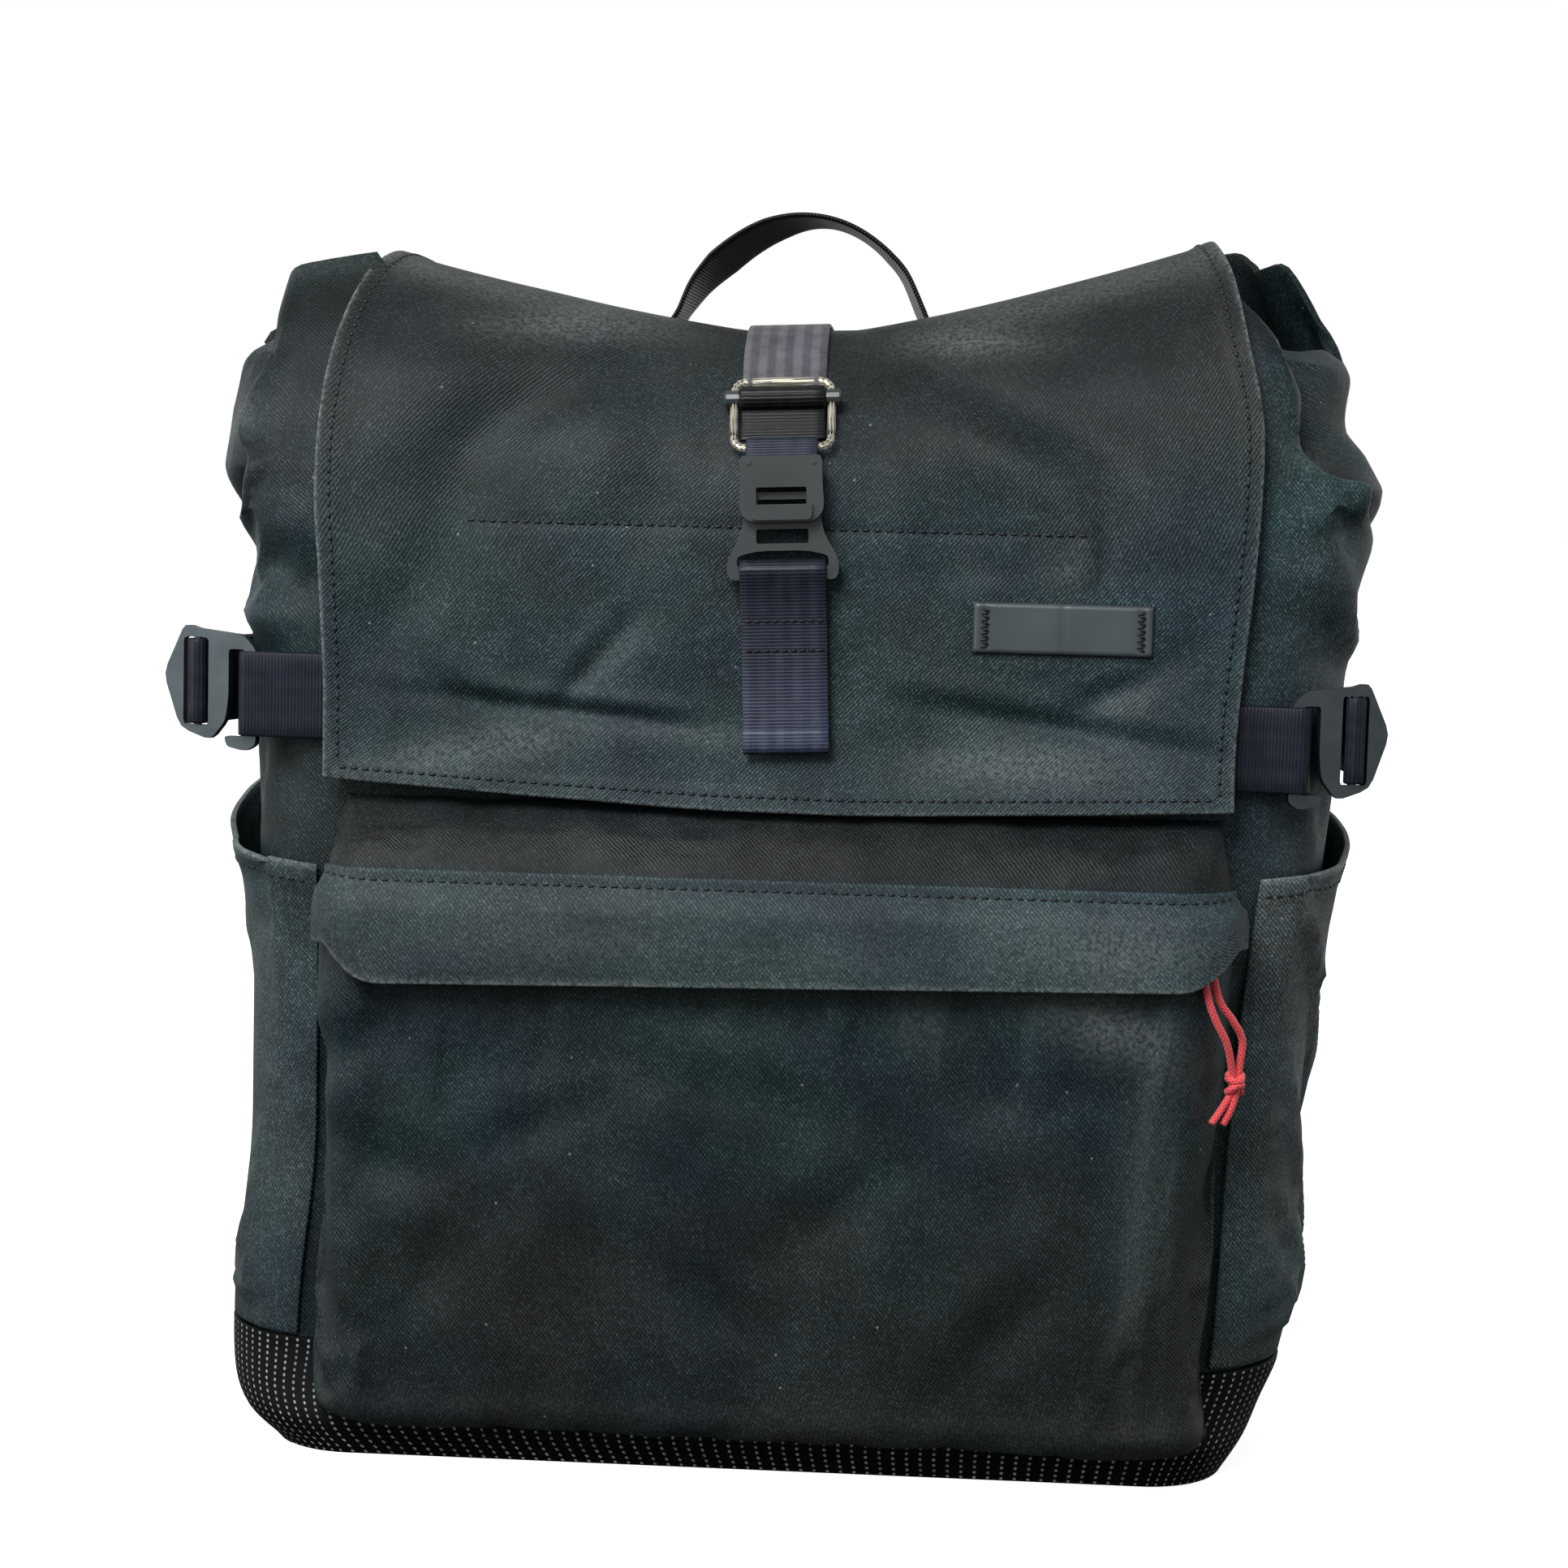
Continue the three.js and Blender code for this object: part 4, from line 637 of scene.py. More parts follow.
# Base
# A boot of black coated cloth with rows of small white woven dots, sewn round the foot of the body.
# It has a flat stiffened floor that the bag stands on and sides that slope in to it like a boat.
dotted_cloth, tree, surface = new_material("dotted_coated_cloth")
cloth_uv = add_node(tree, "UVMap", {"uv_map": "cloth"})
dot_axes = add_node(tree, "SeparateXYZ", {}, {0: cloth_uv.outputs[0]})
dot_off = []
for axis, pitch, half in (("X", 3.5, 0.42), ("Y", 2.1, 0.55)):
    cell = add_node(tree, "Math", {"operation": "DIVIDE", 1: pitch * MM}, {0: dot_axes.outputs[axis]})
    part = add_node(tree, "Math", {"operation": "FRACT"}, {0: cell.outputs[0]})
    centred = add_node(tree, "Math", {"operation": "SUBTRACT", 1: 0.5}, {0: part.outputs[0]})
    scaled = add_node(tree, "Math", {"operation": "MULTIPLY", 1: pitch / half}, {0: centred.outputs[0]})
    square = add_node(tree, "Math", {"operation": "MULTIPLY"}, {0: scaled.outputs[0], 1: scaled.outputs[0]})
    dot_off.append(square.outputs[0])
dot_reach = add_node(tree, "Math", {"operation": "ADD"}, {0: dot_off[0], 1: dot_off[1]})
dot_edge = {"From Min": 0.6, "From Max": 1.3, "To Min": 1.0, "To Max": 0.0}
dot = add_node(tree, "MapRange", dot_edge, {"Value": dot_reach.outputs[0]})
solid_place = add_node(tree, "TexCoord").outputs["Object"]
dot_wear = add_node(tree, "TexNoise", {"Scale": 1 / (5 * MM), "Detail": 3.0}, {"Vector": solid_place})
dot_share = add_node(tree, "Math", {"operation": "MULTIPLY"}, {0: dot.outputs[0], 1: dot_wear.outputs["Fac"]})
dotted = add_node(
    tree, "Mix", {"data_type": "RGBA", 6: srgb("#050607"), 7: srgb("#C6C9CA")}, {0: dot_share.outputs[0]},
)
dot_bump = add_node(tree, "Bump", {"Strength": 0.4, "Distance": 0.25 * MM}, {"Height": dot.outputs[0]})
dotted_shader = add_node(
    tree, "BsdfPrincipled", {"Roughness": 0.6, "Specular IOR Level": 0.1},
    {"Base Color": dotted.outputs[2], "Normal": dot_bump.outputs[0]},
)
tree.links.new(dotted_shader.outputs[0], surface)

BASE_LONG = 15
base_heights = np.concatenate([[BODY_FOOT], np.linspace(4, BASE_TOP, BASE_LONG)])
base_points, base_normals, _ = body_grid(base_heights, body_places, GAP + CANVAS_THICK)
base_points[0, :, 2] = 0.0
base_points[1:, :, 2] = np.linspace(2.2, BASE_TOP, BASE_LONG)[:, None]
base_points[1:-1] += base_normals[1:-1] * (0.5 * unevenness(base_points, 22, 5)[1:-1])[..., None]
floor_rings = [base_points[0] * (share, share, 1) for share in (0.02, 0.35, 0.7, 0.93)]
base_points = np.concatenate([np.array(floor_rings), base_points])
base_run = np.concatenate([[-60, -40, -20, -4], [0], np.linspace(3, 40, BASE_LONG)])
base_uv = np.stack(np.meshgrid(np.linspace(0, 826, base_points.shape[1]), base_run), axis=-1)
base = walled(grid_piece("dotted_base", base_points, base_uv, dotted_cloth, around=True), CANVAS_THICK)
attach(base, "root")
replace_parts(base, "base")

# Side pockets
# One open pouch of the same canvas on each side, sewn into the base seam and along both edges.
# The mouth slants down to the front, gapes away from the body and has a narrow stitched hem.
POCKET_CANVAS = 1.8
SIDE_FOOT, SIDE_TOP, SIDE_LONG, SIDE_HEM = 33, 190, 64, 7.0
SWELL_HEIGHTS = (SIDE_FOOT, 62, 98, 134, 162, SIDE_TOP)
SIDE_SWELL = {1: (0, 0.4, 0.42, 0.42, 0.8, 1.0), -1: (0, 0.05, 0.1, 0.3, 0.58, 1.0)}
SIDE_MOUTH = {1: (179, 199, 11.0), -1: (174.5, 203, 15.0)}
# How much lighter each side pocket is painted towards its front end, as painted light.
SIDE_PAINTED_LIGHT = {1: 1.9, -1: 1.25}

# Bonded nylon thread: a thin dark cord with a slight shine, in stitches 2.4 mm long.
nylon_thread, tree, surface = new_material("bonded_nylon_thread")
solid_place = add_node(tree, "TexCoord").outputs["Object"]
thread_twist = add_node(tree, "TexNoise", {"Scale": 1 / (0.8 * MM), "Detail": 2.0}, {"Vector": solid_place})
thread_colour = add_node(
    tree, "Mix", {"data_type": "RGBA", 6: srgb("#08090A"), 7: srgb("#1C1F20")},
    {0: thread_twist.outputs["Fac"]},
)
thread_shader = add_node(tree, "BsdfPrincipled", {"Roughness": 0.5}, {"Base Color": thread_colour.outputs[2]})
tree.links.new(thread_shader.outputs[0], surface)


def on_grid(points, rows, columns):
    """Points of a grid at fractional rows and columns."""
    rows = np.clip(rows, 0, points.shape[0] - 1.001)
    columns = np.clip(columns, 0, points.shape[1] - 1.001)
    i, j = rows.astype(int), columns.astype(int)
    a, b = (rows - i)[:, None], (columns - j)[:, None]
    low = points[i, j] * (1 - b) + points[i, j + 1] * b
    high = points[i + 1, j] * (1 - b) + points[i + 1, j + 1] * b
    return low * (1 - a) + high * a


def stitched(name, lines, pitch=3.3, length=2.4, radius=0.36):
    """One mesh of short stitches along lines. Each line is its points and its outward normals."""
    verts, faces = [], []
    ring = [(math.cos(k * math.pi / 3), math.sin(k * math.pi / 3)) for k in range(6)]
    for line, out in lines:
        run = distance_along(line)
        for at in np.arange(pitch / 2, run[-1] - length / 2, pitch):
            reach = np.array([at - length / 2, at + length / 2])
            ends = np.stack([np.interp(reach, run, line[:, k]) for k in range(3)], axis=1)
            up = np.array([np.interp(at, run, out[:, k]) for k in range(3)])
            along = (ends[1] - ends[0]) / np.linalg.norm(ends[1] - ends[0])
            side = np.cross(along, up)
            first = len(verts)
            verts.append(ends[0] - up * 0.1)
            for share in (0.2, 0.8):
                centre = ends[0] + (ends[1] - ends[0]) * share + up * radius * 0.35
                verts += [centre + radius * (c * side + s * 0.8 * up) for c, s in ring]
            verts.append(ends[1] - up * 0.1)
            for k in range(6):
                n = (k + 1) % 6
                faces.append((first, first + 1 + k, first + 1 + n))
                faces.append((first + 1 + k, first + 7 + k, first + 7 + n, first + 1 + n))
                faces.append((first + 13, first + 7 + n, first + 7 + k))
    mesh = bpy.data.meshes.new(name)
    mesh.from_pydata((np.array(verts) * MM).tolist(), [], faces)
    mesh.materials.append(nylon_thread)
    mesh.shade_smooth()
    piece = bpy.data.objects.new(name, mesh)
    bpy.context.collection.objects.link(piece)
    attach(piece, "root")
    return piece


def hem_profile(depth, width, thick):
    """Extra height of a folded hem of that width, with the thread's groove near its inner edge."""
    step = thick / (1 + np.exp(np.clip((depth - width) / 0.45, -40, 40)))
    return step - 0.4 * np.exp(-(((depth - width + 1.6) / 0.9) ** 2))


FRONT_TURN, REAR_TURN = {1: 72.0, -1: 76.0}, 67.5


def side_places(side):
    """The places round the body that a side pocket covers, and their share along its mouth."""
    arc, straight = np.linspace(0, 1, 11), np.linspace(0, 1, 28)[1:-1]
    share = np.concatenate([arc * 3 / 14, 3 / 14 + straight * 8 / 14, 11 / 14 + arc * 3 / 14])
    if side > 0:
        angle = np.concatenate([FRONT_TURN[side] * (arc - 1), 0 * straight, REAR_TURN * arc])
        wy = np.concatenate([0 * arc, straight, 0 * arc + 1])
    else:
        angle = 180 + np.concatenate([REAR_TURN * (arc - 1), 0 * straight, FRONT_TURN[side] * arc])
        wy = np.concatenate([0 * arc + 1, 1 - straight, 0 * arc])
    return np.array([angle, 0 * angle + (side > 0), wy]), share if side > 0 else 1 - share


for side, hand in ((1, "right"), (-1, "left")):
    places, share = side_places(side)
    front_z, rear_z, bulge = SIDE_MOUTH[side]
    rise = np.linspace(0, 1, SIDE_LONG)[:, None]
    mouth = front_z + (rear_z - front_z) * share[None, :]
    heights = SIDE_FOOT + rise * (mouth - SIDE_FOOT)
    grid = np.zeros(heights.shape + (3,))
    outward = np.zeros_like(grid)
    for j in range(len(share)):
        points, normals, _ = body_grid(heights[:, j], places[:, j : j + 1])
        grid[:, j], outward[:, j] = points[:, 0], normals[:, 0]
    swell_at = SIDE_FOOT + rise * (SIDE_TOP - SIDE_FOOT)
    swell = eased(SWELL_HEIGHTS, SIDE_SWELL[side], swell_at.ravel())[:, None]
    out = GAP + POCKET_CANVAS + bulge * swell * np.sin(math.pi * share[None, :]) ** 0.8
    edge = np.clip(np.minimum(share, 1 - share) / 0.08, 0, 1)[None, :]
    out = out + edge * rise * (1.3 * unevenness(grid, 30, 6 + side) + 0.6 * unevenness(grid, 12, 9 + side))
    against = grid
    held = np.ones(heights.shape)
    held[4:, 4:-4] = 0.0
    grid = settle(against + outward * out[..., None], held, False, 0.35, 0.025, 4.0)
    clear = ((grid - against) * outward).sum(axis=2)
    grid = grid + outward * np.maximum(GAP + POCKET_CANVAS - clear, 0)[..., None]
    below = (mouth - SIDE_FOOT) * (1 - rise)
    outward = grid_normals(grid)
    grid = grid + outward * hem_profile(below, SIDE_HEM, 0.7)[..., None]
    run = distance_along(grid[30])
    uv = np.stack([np.repeat(run[None, :], SIDE_LONG, axis=0), heights], axis=-1)
    # Painted shading: each side pocket is painted darker at its foot, and lighter at its mouth and towards
    # its front end.
    side_painted_light = np.interp(heights, (SIDE_FOOT, SIDE_TOP), (0.85, 1.4))
    marks = {
        "scuff_and_sheen": np.clip(0.6 - below / 4, 0, 0.6),
        "painted_shading": side_painted_light * (1 + (SIDE_PAINTED_LIGHT[side] - 1) * (1 - share)),
        "dry": 0.6,
    }
    pocket = grid_piece("side_pocket_canvas_" + hand, grid, uv, waxed_canvas, marks=marks)
    walled(pocket, POCKET_CANVAS)
    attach(pocket, "root")
    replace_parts(pocket, "side_pocket_" + hand)
    columns = np.linspace(0.3, len(share) - 1.3, 160)
    tall = np.interp(columns, np.arange(len(share)), mouth[0]) - SIDE_FOOT
    stitch_rows = (SIDE_LONG - 1) * (1 - (SIDE_HEM - 1.6) / tall)
    line, line_out = on_grid(grid, stitch_rows, columns), on_grid(outward, stitch_rows, columns)
    stitched("side_pocket_stitches_" + hand, [(line, line_out)])

# Front pocket
# A bellows pocket of the same canvas, sewn to the body along its sides and top, that sags over the base.
# A zip slot runs across its upper front and round the right corner, hidden by the storm flap.
POCKET_COLUMNS = ("z", "left", "right", "depth", "radius", "bend", "rim")
POCKET_ROWS = [
    (33.5, 128, 122, 5.5, 2.4, 2.4, -60.8),
    (19, 131, 124.5, 16, 8.5, 8.5, -65.3),
    (15.5, 132.5, 126, 24, 14, 14, -67),
    (22, 134, 127, 29.5, 16, 20, -64.1),
    (33.5, 135, 126, 30.6, 15, 22, -60.8),
    (42, 134, 125.5, 31, 15, 22, -58.4),
    (75, 133, 126, 31, 15, 22, -58.4),
    (110, 133, 129, 30, 15, 22, -58.4),
    (138, 133.5, 131, 28, 15, 21, -58.4),
    (158, 133.5, 131, 26, 15, 20, -58.4),
    (174, 133, 130, 23.5, 14, 18, -58.4),
    (186, 131, 128.5, 17, 11, 13, -58.4),
    (193, 130, 127.5, 9, 6, 6, -58.4),
    (196, 129.5, 127, 4, 3, 3, -58.4),
]
ZIP_LOW, ZIP_HIGH, ZIP_LEFT, ZIP_RIGHT = 160, 167, -112, 124
POCKET_LONG, POCKET_FACE = 96, -66


def profile_run(table):
    """Distance along the pocket's middle profile at each row."""
    return distance_along(table[:, (0, 3)])


def pocket_sections(at, outwards, gusset=12, arc=12, front=92):
    """U-shaped sections of the pocket at places along its profile, moved outwards."""
    table = np.array(POCKET_ROWS, float)
    run = profile_run(table)
    row = {name: eased(run, table[:, i], at)[:, None] for i, name in enumerate(POCKET_COLUMNS)}
    deep, flat = np.linspace(0, 1, gusset + 1), np.linspace(0, 1, front + 1)[1:-1]
    turn = np.radians(90 * np.linspace(0, 1, arc + 1))[None, :]
    face = FRONT - row["depth"]
    left_x, right_x = row["radius"] - row["left"], row["right"] - row["bend"]
    left_y, right_y = face + row["radius"], face + row["bend"]
    left_reach, right_reach = row["radius"] + outwards, row["bend"] + outwards
    xs = [
        -(row["left"] + outwards) + 0 * deep[:-1],
        left_x - left_reach * np.cos(turn),
        left_x + (right_x - left_x) * flat,
        right_x + right_reach * np.sin(turn),
        row["right"] + outwards + 0 * deep[1:],
    ]
    ys = [
        row["rim"] + (left_y - row["rim"]) * deep[:-1],
        left_y - left_reach * np.sin(turn),
        face - outwards + 0 * flat,
        right_y - right_reach * np.cos(turn),
        right_y + (row["rim"] - right_y) * deep[1:],
    ]
    x, y = np.hstack(xs), np.hstack(ys)
    return np.stack([x, y, row["z"] + 0 * x], axis=-1)


pocket_run = profile_run(np.array(POCKET_ROWS, float))
pocket_at = np.linspace(0, pocket_run[-1], POCKET_LONG)
pocket_points = pocket_sections(pocket_at, 0.0)
pocket_rows, pocket_columns = np.arange(POCKET_LONG), np.arange(pocket_points.shape[1])
edge_rows = np.minimum(pocket_rows, pocket_rows[::-1])[:, None]
edge_columns = np.minimum(pocket_columns, pocket_columns[::-1])[None, :]
pocket_free = np.clip((edge_rows - 3) / 6, 0, 1) * np.clip((edge_columns - 1) / 5, 0, 1)
pocket_free *= 1 - np.exp(-(((pocket_points[..., 2] - 172) / 14) ** 2)) * (pocket_at[:, None] > pocket_run[7])
pocket_out = grid_normals(pocket_points)
# Soft dents where the empty pocket sags, as place across, height, tilt, length, width and depth.
POCKET_CREASES = [
    (-120, 128, 30, 22, 7, 3.0),
    (-118, 95, -20, 25, 8, 2.5),
    (-100, 60, 40, 30, 10, 2.0),
    (100, 70, 100, 40, 10, 2.0),
    (60, 120, 20, 40, 12, 1.5),
    (113, 80, 90, 48, 3, 0.8),
    (-20, 118, -12, 34, 7, 1.6),
    (-70, 104, 24, 26, 6, 1.6),
    (20, 84, 35, 30, 8, 1.6),
    (-30, 60, -28, 34, 9, 1.6),
    (70, 52, 48, 28, 8, 1.8),
]
lumps = 1.8 * unevenness(pocket_points, 55, 21) + 0.8 * unevenness(pocket_points, 22, 22)
dents = crease_depths(POCKET_CREASES, pocket_points[..., 0], pocket_points[..., 2])
lumps -= dents * (pocket_points[..., 1] < POCKET_FACE)
pocket_points = pocket_points + pocket_out * (pocket_free * lumps)[..., None]
pocket_points = settle(pocket_points, 1 - pocket_free, False, 0.5, 0.02, 4.5)
pocket_out = grid_normals(pocket_points)
gathers = np.exp(-(((pocket_points[..., 2] - 189) / 8) ** 2)) * (pocket_at[:, None] > pocket_run[8])
gathered = 1.7 * unevenness(pocket_points * (1, 1, 0.4), 12, 23)
pocket_points = pocket_points + pocket_out * (gathers * gathered)[..., None]
pocket_uv = np.stack(np.meshgrid(distance_along(pocket_points[60]), pocket_at), axis=-1)
# Pale marks on the face, partly rubbed wear and partly a painted sheen; the two long upright ones are a
# painted sheen along the bulging right edge.
POCKET_RUBS_AND_SHEEN = [
    (95, 137, 20, 8, -20, 0.4),
    (40, 139, 8, 8, 0, 0.2),
    (113, 80, 45, 1.8, 90, 0.16),
    (107, 80, 50, 7, 90, 0.1),
]
low_wear = np.exp(-(((pocket_points[..., 2] - 20) / 4) ** 2))
pocket_scuff_and_sheen = rubs_and_sheen(POCKET_RUBS_AND_SHEEN, pocket_points[..., 0], pocket_points[..., 2])
pocket_scuff_and_sheen = np.clip(pocket_scuff_and_sheen * (pocket_points[..., 1] < POCKET_FACE) + 0.06 * low_wear, 0, 1)


def cut_slot(piece, low, high, left, right, front):
    """Takes out the faces of the zip slot."""
    edit = bmesh.new()
    edit.from_mesh(piece.data)
    gone = []
    for face in edit.faces:
        c = face.calc_center_median() / MM
        if low < c.z < high and left < c.x < right and c.y < front:
            gone.append(face)
    bmesh.ops.delete(edit, geom=gone, context="FACES")
    edit.to_mesh(piece.data)
    edit.free()


pocket_height = pocket_points[..., 2]
# The pocket's painted shading: darker towards its foot, and much darker along its top strip as painted shade
# under the storm flap and the lid.
pocket_marks = {
    "scuff_and_sheen": pocket_scuff_and_sheen,
    "painted_shading": np.interp(pocket_height, (15, 60, 140, 165, 180), (0.6, 0.62, 0.72, 0.72, 0.38)),
    "dry": np.interp(pocket_height, (15, 60, 110, 172, 180), (0.8, 0.6, 0.1, 0.1, 0.75)),
}
front_pocket = grid_piece("front_pocket_canvas", pocket_points, pocket_uv, waxed_canvas, marks=pocket_marks)
cut_slot(front_pocket, ZIP_LOW, ZIP_HIGH, ZIP_LEFT, ZIP_RIGHT, -70)
walled(front_pocket, CANVAS_THICK)
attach(front_pocket, "root")
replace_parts(front_pocket, "front_pocket")

# Storm flap
# A doubled strip of canvas over the zip, sewn to the pocket along its top and free along its lower fold.
# It stands off the pocket by the thickness of the zip, so its fold throws a shadow.
STORM_FOOT, STORM_SEAM, STORM_TOP, STORM_TALL = 147, 174, 177, 26
STORM_OFF = ((STORM_FOOT, 158, 166, 172, STORM_TOP), (3.6, 3.4, 2.8, 0.8, 0.4))
storm_heights = np.linspace(STORM_FOOT, STORM_TOP, STORM_TALL)
wall_rows = np.array(POCKET_ROWS, float)[5:]
wall_run = pocket_run[5:]
storm_points = []
for z in storm_heights:
    place = np.interp(z, wall_rows[:, 0], wall_run)
    off = float(eased(*STORM_OFF, [z])[0])
    storm_points.append(pocket_sections(np.array([place]), off + POCKET_CANVAS)[0])
storm_points = np.array(storm_points)[:, 16:-15]
storm_loose = np.clip((STORM_TOP - storm_heights) / (STORM_TOP - STORM_FOOT), 0, 1)[:, None]
storm_points[..., 2] += 2.6 * storm_loose * storm_points[..., 0] / ZIP_RIGHT
drawn_up = 11 * np.clip((np.abs(storm_points[..., 0]) - 114) / 17, 0, 1) ** 2
storm_points[..., 2] += drawn_up * storm_loose
storm_out = grid_normals(storm_points)
hang = np.clip((172 - storm_heights) / 22, 0, 1)[:, None]
storm_waves = 0.9 * unevenness(storm_points, 48, 31) + 0.4 * unevenness(storm_points, 16, 32)
storm_points = storm_points + storm_out * (hang * storm_waves)[..., None]
seam = np.exp(-(((storm_heights - STORM_SEAM) / 1.1) ** 2))[:, None]
storm_points = storm_points - storm_out * (0.45 * seam)[..., None]
storm_uv = np.stack(np.meshgrid(distance_along(storm_points[10]), storm_heights), axis=-1)
# The folded lower edge is paler with wear. The pale patches are partly wear and partly a painted sheen, and
# the flap is painted lighter towards its right end as a painted sheen.
storm_scuff_and_sheen = np.clip(0.7 - (storm_heights - STORM_FOOT) / 2.5, 0.04, 0.7)[:, None]
STORM_RUBS_AND_SHEEN = [(95, 160, 30, 9, 0, 0.35), (-60, 158, 30, 6, 0, 0.12), (20, 156, 16, 5, 0, 0.12)]
storm_scuff_and_sheen = storm_scuff_and_sheen + rubs_and_sheen(STORM_RUBS_AND_SHEEN, storm_points[..., 0], storm_points[..., 2])
storm_painted_sheen = np.interp(storm_points[..., 0], (-120, 110), (0.98, 1.25))
storm_marks = {"scuff_and_sheen": storm_scuff_and_sheen, "painted_shading": storm_painted_sheen, "dry": 0.2}
storm_flap = grid_piece("storm_flap_canvas", storm_points, storm_uv, waxed_canvas, marks=storm_marks)
walled(storm_flap, POCKET_CANVAS, 0.8)
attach(storm_flap, "root")
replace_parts(storm_flap, "storm_flap")
columns = np.linspace(0.5, storm_points.shape[1] - 1.5, 200)
rows = np.full(200, np.interp(STORM_SEAM, storm_heights, np.arange(STORM_TALL)))
storm_line = on_grid(storm_points, rows, columns)
stitched("storm_flap_stitches", [(storm_line, on_grid(storm_out, rows, columns))])

# Lid
# One doubled sheet of waxed canvas, sewn to the back panel, that folds over the mouth and hangs in front.
# Its sides and front have a turned hem with one row of stitches; its top corners stand up stiffly.
LID_COLUMNS = ("mid_y", "mid_z", "edge_y", "edge_z", "left", "right", "skew")
LID_ROWS = [
    (62.6, 292, 62.6, 292, 116, 116, 0),
    (62.6, 312, 62.6, 322, 118, 117, 1),
    (60.5, 325, 61, 342, 121, 119, 2.5),
    (53, 334, 54, 355, 123, 121, 4),
    (42, 337, 41, 361, 124, 122, 4.2),
    (12, 338, 14, 363, 126, 122.5, 4.2),
    (-12, 336, -10, 361.5, 128, 123, 4.2),
    (-36, 325, -33, 352, 132, 126, 3.4),
    (-52, 310, -49, 334, 136.5, 129.5, 2.4),
    (-61, 293, -58.5, 310, 139.5, 134, 1.2),
    (-64, 275, -62.5, 285, 140, 134, 0.4),
    (-64.5, 262, -64.5, 262, 138, 132.5, 0),
    (-64.5, 232, -64.5, 232, 136, 130, 0),
    (-66.5, 212, -66, 214, 135.5, 129, -0.6),
    (-70, 195, -68.5, 200, 135, 129, -1.2),
]
LID_FLAT, LID_POWER = 0.12, 1.2
HEM, LID_SEAM, LABEL_X, LABEL_Z = 6.0, 277, 78.5, 250.0
LID_LONG, LID_WIDE = 200, 201
lid_table = np.array(LID_ROWS, float)
lid_run = distance_along(lid_table[:, :2])
lid_at = np.linspace(0, lid_run[-1], LID_LONG)
lid_row = {}
for i, name in enumerate(LID_COLUMNS):
    path = smooth_path(np.stack([lid_run, lid_table[:, i], 0 * lid_run], axis=1), 0.5)
    lid_row[name] = np.interp(lid_at, path[:, 0], path[:, 1])[:, None]
lid_share = np.linspace(-1, 1, LID_WIDE)[None, :]
lid_bend = np.clip((np.abs(lid_share) - LID_FLAT) / (1 - LID_FLAT), 0, 1) ** LID_POWER
lid_half = np.where(lid_share < 0, lid_row["left"], lid_row["right"])
lid_points = np.stack([
    lid_share * lid_half,
    lid_row["mid_y"] + lid_bend * (lid_row["edge_y"] - lid_row["mid_y"]),
    lid_row["mid_z"] + lid_bend * (lid_row["edge_z"] - lid_row["mid_z"]) + lid_row["skew"] * lid_share,
], axis=-1)
lid_out = -grid_normals(lid_points)
lid_calm = np.clip((np.abs(lid_points[..., 0]) - 17) / 22, 0, 1)
lid_front = np.clip((lid_at[:, None] - lid_run[5]) / 40, 0, 1)
lid_waves = 1.6 * unevenness(lid_points, 62, 41) + 0.7 * unevenness(lid_points, 27, 42)
# Folds that the strap pulls into the slope, and the dent on each side of the buckle.
LID_CREASES = [
    (-62, 318, 24, 34, 9, 3.6),
    (58, 316, 156, 34, 9, 3.4),
    (-40, 286, 70, 30, 12, 2.2),
    (44, 284, 112, 30, 12, 2.2),
    (-92, 300, 60, 40, 14, 2.8),
    (96, 296, 120, 42, 14, 2.8),
    (30, 214, 12, 60, 10, 1.6),
    (-58, 222, -5, 40, 2.6, 2.4),
    (-57, 236, 50, 16, 3.5, 1.8),
    (-90, 224, -24, 16, 4, 1.6),
    (75, 222, -8, 44, 3.5, 2.0),
    (96, 234, 30, 18, 4, 1.4),
    (90, 268, 95, 10, 3, 1.5),
    (-110, 255, 60, 26, 8, 1.8),
    (20, 300, 80, 16, 6, 1.8),
    (-22, 298, 100, 16, 6, 1.8),
]
lid_press = crease_depths(LID_CREASES, lid_points[..., 0], lid_points[..., 2]) * (lid_points[..., 1] < -14)
from_label = (lid_points[..., 0] - LABEL_X) / 34, (lid_points[..., 2] - LABEL_Z) / 14
lid_label_rest = 1 - np.exp(-(from_label[0] ** 6) - from_label[1] ** 6)
lid_move = lid_calm * lid_label_rest * (lid_front * lid_waves - lid_press)
lid_points = lid_points + lid_out * lid_move[..., None]
side_depth = (1 - np.abs(lid_share)) * lid_half
front_depth = (lid_run[-1] - lid_at)[:, None] + 0 * side_depth
hem = np.maximum(hem_profile(side_depth, HEM, 0.8), hem_profile(front_depth, HEM, 0.8))
line_place = np.abs(lid_points[..., 2] - LID_SEAM)
line_place += 100 * (np.abs(lid_points[..., 0] + 2.5) > 91) + 100 * (lid_points[..., 1] > -40)
hem = hem - 0.45 * np.exp(-((line_place / 1.1) ** 2))
lid_points = lid_points + lid_out * hem[..., None]
lid_uv = np.stack([lid_share * lid_half, lid_at[:, None] + 0 * lid_share], axis=-1)
edge_wear = np.clip(0.7 - np.minimum(side_depth, front_depth) / 2.2, 0, 0.7)
beside_strap = np.clip((np.abs(lid_share) - 0.2) / 0.3, 0, 1)
crest_wear = 0.25 * np.exp(-(((lid_at[:, None] - lid_run[6] - 8) / 14) ** 2)) * beside_strap
